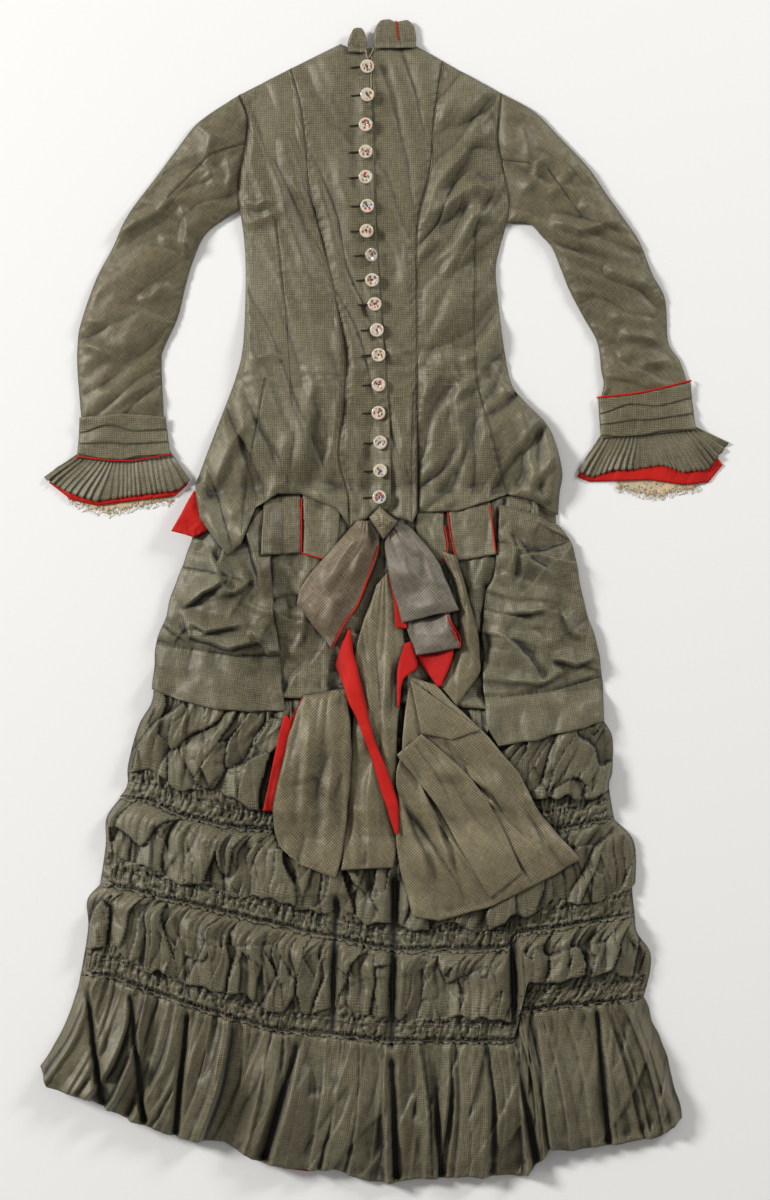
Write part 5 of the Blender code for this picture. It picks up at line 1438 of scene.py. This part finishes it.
def build_buttons():
    """Seventeen china buttons with their buttonholes, and the loose thread at the neck."""
    sides = BUTTON_SIDES
    turn = np.arange(sides) * 2.0 * math.pi / sides
    for number, (x, y) in enumerate(BUTTONS):
        disc = np.array([x, y]) + 7.0 * np.stack([np.cos(turn), np.sin(turn)], axis=1)
        seat = pile.sample(pile.softened(3.0), disc).max() + 0.3
        name = f"button_{number + 1:02d}"
        form = bmesh.new()
        rings = []
        for radius, high in BUTTON_TURNED:
            count = 1 if radius == 0 else sides
            rings.append([form.verts.new((radius * math.cos(a), radius * math.sin(a), high))
                          for a in turn[:count]])
        for one, two in zip(rings, rings[1:]):
            for k in range(sides):
                n = (k + 1) % sides
                corners = [one[k % len(one)], one[n % len(one)], two[n % len(two)], two[k % len(two)]]
                form.faces.new(list(dict.fromkeys(corners)))
        bmesh.ops.recalc_face_normals(form, faces=form.faces[:])
        mesh = bpy.data.meshes.new(name + "_china")
        form.to_mesh(mesh)
        form.free()
        local = np.array([vert.co[:] for vert in mesh.vertices])
        far = np.hypot(local[:, 0], local[:, 1]) * MM
        set_weave(mesh, local[:, :2] * MM + 0.05 * (number + 1))
        centre = mesh.attributes.new("from_centre", "FLOAT", "POINT")
        centre.data.foreach_set("value", far.astype(np.float32))
        lean = 0.55 if number == TILTED else 0.05 * math.sin(number * 2.3)
        placed = local.copy()
        placed[:, 0] = local[:, 0] * math.cos(lean) + local[:, 2] * math.sin(lean)
        placed[:, 2] = local[:, 2] * math.cos(lean) - local[:, 0] * math.sin(lean) + 9.0 * abs(math.sin(lean))
        placed[:, :2] = (placed[:, :2] + (x, y)) * MM + SHIFT
        placed[:, 2] = (placed[:, 2] + seat) * MM
        mesh.vertices.foreach_set("co", placed.astype(np.float32).ravel())
        mesh.shade_smooth()
        add_piece(name + "_china", mesh, CHINA, (name,), wall=0)
    holes = [[(x + BUTTONHOLE[0], y - 0.5), (x + BUTTONHOLE[1], y)] for x, y in BUTTONS]
    join_tubes("buttonholes", sewn_on(holes, above=0.4), 0.75, BROWN_THREAD)
    stitches("buttonhole_stitches", sewn_on(holes, above=0.9, step=1.0), BROWN_THREAD,
             pitch=1.0, length=0.7, thick=2.6)
    neck = [[(-24, 686), (-21, 676), (-14, 690)], [(-17, 660), (-17.5, 650), (-17, 637)]]
    join_tubes("neck_thread", sewn_on(neck, above=1.6), 0.45, CREAM_THREAD)


# Scarlet piping and bound edges: their radius and the paths that they follow
PIPINGS = {
    "cuff_right_piping": (1.0, [[(-385, 180), (-325, 175), (-267, 183)]]),
    "cuff_left_piping": (1.2, [[(265, 254), (320, 260), (382, 275)]]),
    "tab_piping": (0.9, [[(-104, 60), (-104, 128)], [(-104, 60), (-62, 48)], [(89, 50), (82, 80), (78, 112)],
                         [(137, 59), (131, 118)], [(74, 94), (78, 66), (70, 48)]]),
    "collar_piping": (0.9, [[(14, 724), (15, 711), (17, 700)]]),
    "bow_piping": (1.1, [[(-8, 68), (-32, 0), (-49, -26), (-66, -59)],
                         [(77, -18), (84, -31), (92, -44), (93, -57)], [(83, -34), (87, -42), (88, -49)]]),
}
# Narrow scarlet facings: left and right edges from the bottom to the top
FACINGS = {
    "facing_tail_right": ([(-151, -260), (-127, -149), (-117, -145), (-103, -120)],
                          [(-138, -261), (-134, -235), (-110, -151), (-96, -128)]),
    "facing_bow": ([(13, -33), (11, 0), (4, 34)], [(27, -34), (26, -10), (17, 34)]),
    "facing_hem_1": ([(-400, -616), (-392, -596)], [(-369, -625), (-368, -604)]),
    "facing_hem_2": ([(-330, -643), (-324, -624)], [(-310, -651), (-308, -632)]),
    "facing_hem_3": ([(-127, -709), (-122, -688)], [(-94, -713), (-98, -692)]),
}


def build_facings(names):
    for name in names:
        patch = strip(*FACINGS[name], 1.8)
        lay_cloth(name, patch, 0.5 + crumple(patch, 0.5), RED_CLOTH, roll=0.3, extra=True)
    pile.settle()


def build_piping(names):
    for name in names:
        radius, paths = PIPINGS[name]
        join_tubes(name, sewn_on(paths, 0.3 * radius), radius, RED_CLOTH)


def build_gathering_stitches():
    """Two rows of dark stitches across the shirred band of each tier."""
    rows = []
    for bottom in (GATHER_1, GATHER_2, GATHER_3):
        for above in (4.0, 21.0):
            line = along([(x * 0.965, y + above) for x, y in bottom], np.linspace(0, 1, 160))
            line[:, 1] += 1.6 * noise(line[:, 0] / 6.0, line[:, 1] * 0.0, int(above))
            rows.append(line)
    stitches("gathering_stitches", sewn_on(rows, above=0.3, step=2.5, curved=False), BLACK_THREAD,
             pitch=4.6, length=3.0, thick=1.2)


FLOOR_REACH = 6.0             # metres from the middle to each side
WORLD_STRENGTH = 0.33
LAMPS = (("key", (-5.0, 2.0, 3.3), 1.3, 372.0), ("fill", (3.5, 2.9, 2.3), 1.2, 118.0))
CAMERA_HEIGHT = 4.0
CAMERA_LENS = 96.0


def stage():
    """The surface that the dress lies on."""
    floor = bpy.data.meshes.new("floor")
    reach = FLOOR_REACH
    floor.from_pydata([(-reach, -reach, 0), (reach, -reach, 0), (reach, reach, 0), (-reach, reach, 0)], [],
                      [(0, 1, 2, 3)])
    thing = add_object("floor", floor)
    material, nodes, shader = start_material("paper", Roughness=0.9)
    tone = nodes.grain(nodes.object_place(), 300.0)
    nodes.put(shader["Base Color"], nodes.mix(tone, (0.83, 0.82, 0.80, 1), (0.86, 0.85, 0.83, 1)))
    thing.data.materials.append(material)


def light_and_camera():
    scene = bpy.context.scene
    scene.view_settings.view_transform = "Standard"
    world = bpy.data.worlds.new("studio")
    world.use_nodes = True
    sky = world.node_tree.nodes["Background"].inputs
    sky["Color"].default_value = (1.0, 0.99, 0.97, 1)
    sky["Strength"].default_value = WORLD_STRENGTH
    scene.world = world
    for name, place, size, power in LAMPS:
        lamp = bpy.data.lights.new(name, "AREA")
        lamp.size, lamp.energy = size, power
        thing = add_object(name, lamp)
        thing.location = place
        away = -np.array(place)
        thing.rotation_euler = (math.atan2(math.hypot(away[0], away[1]), -away[2]), 0.0,
                                math.atan2(away[1], away[0]) - math.pi / 2)
    camera = bpy.data.cameras.new("camera")
    camera.lens = CAMERA_LENS
    thing = add_object("camera", camera)
    thing.location = (SHIFT[0], SHIFT[1] + 1.25 * MM, CAMERA_HEIGHT)
    scene.camera = thing


def main():
    light_and_camera()
    build_hidden()
    build_facings([name for name in FACINGS if "hem" in name])
    build_wrists()
    build_skirt()
    build_gathering_stitches()
    build_tabs()
    build_piping(["tab_piping"])
    build_bodice()
    join_tubes("seam_threads", sewn_on(SEAM_LINES, above=-0.1, step=4.0), 0.32, BROWN_THREAD)
    build_piping(["cuff_right_piping", "cuff_left_piping", "collar_piping"])
    build_facings(["facing_tail_right"])
    build_bow()
    build_piping(["bow_piping"])
    deepen_under_edges()
    build_buttons()
    stage()


main()
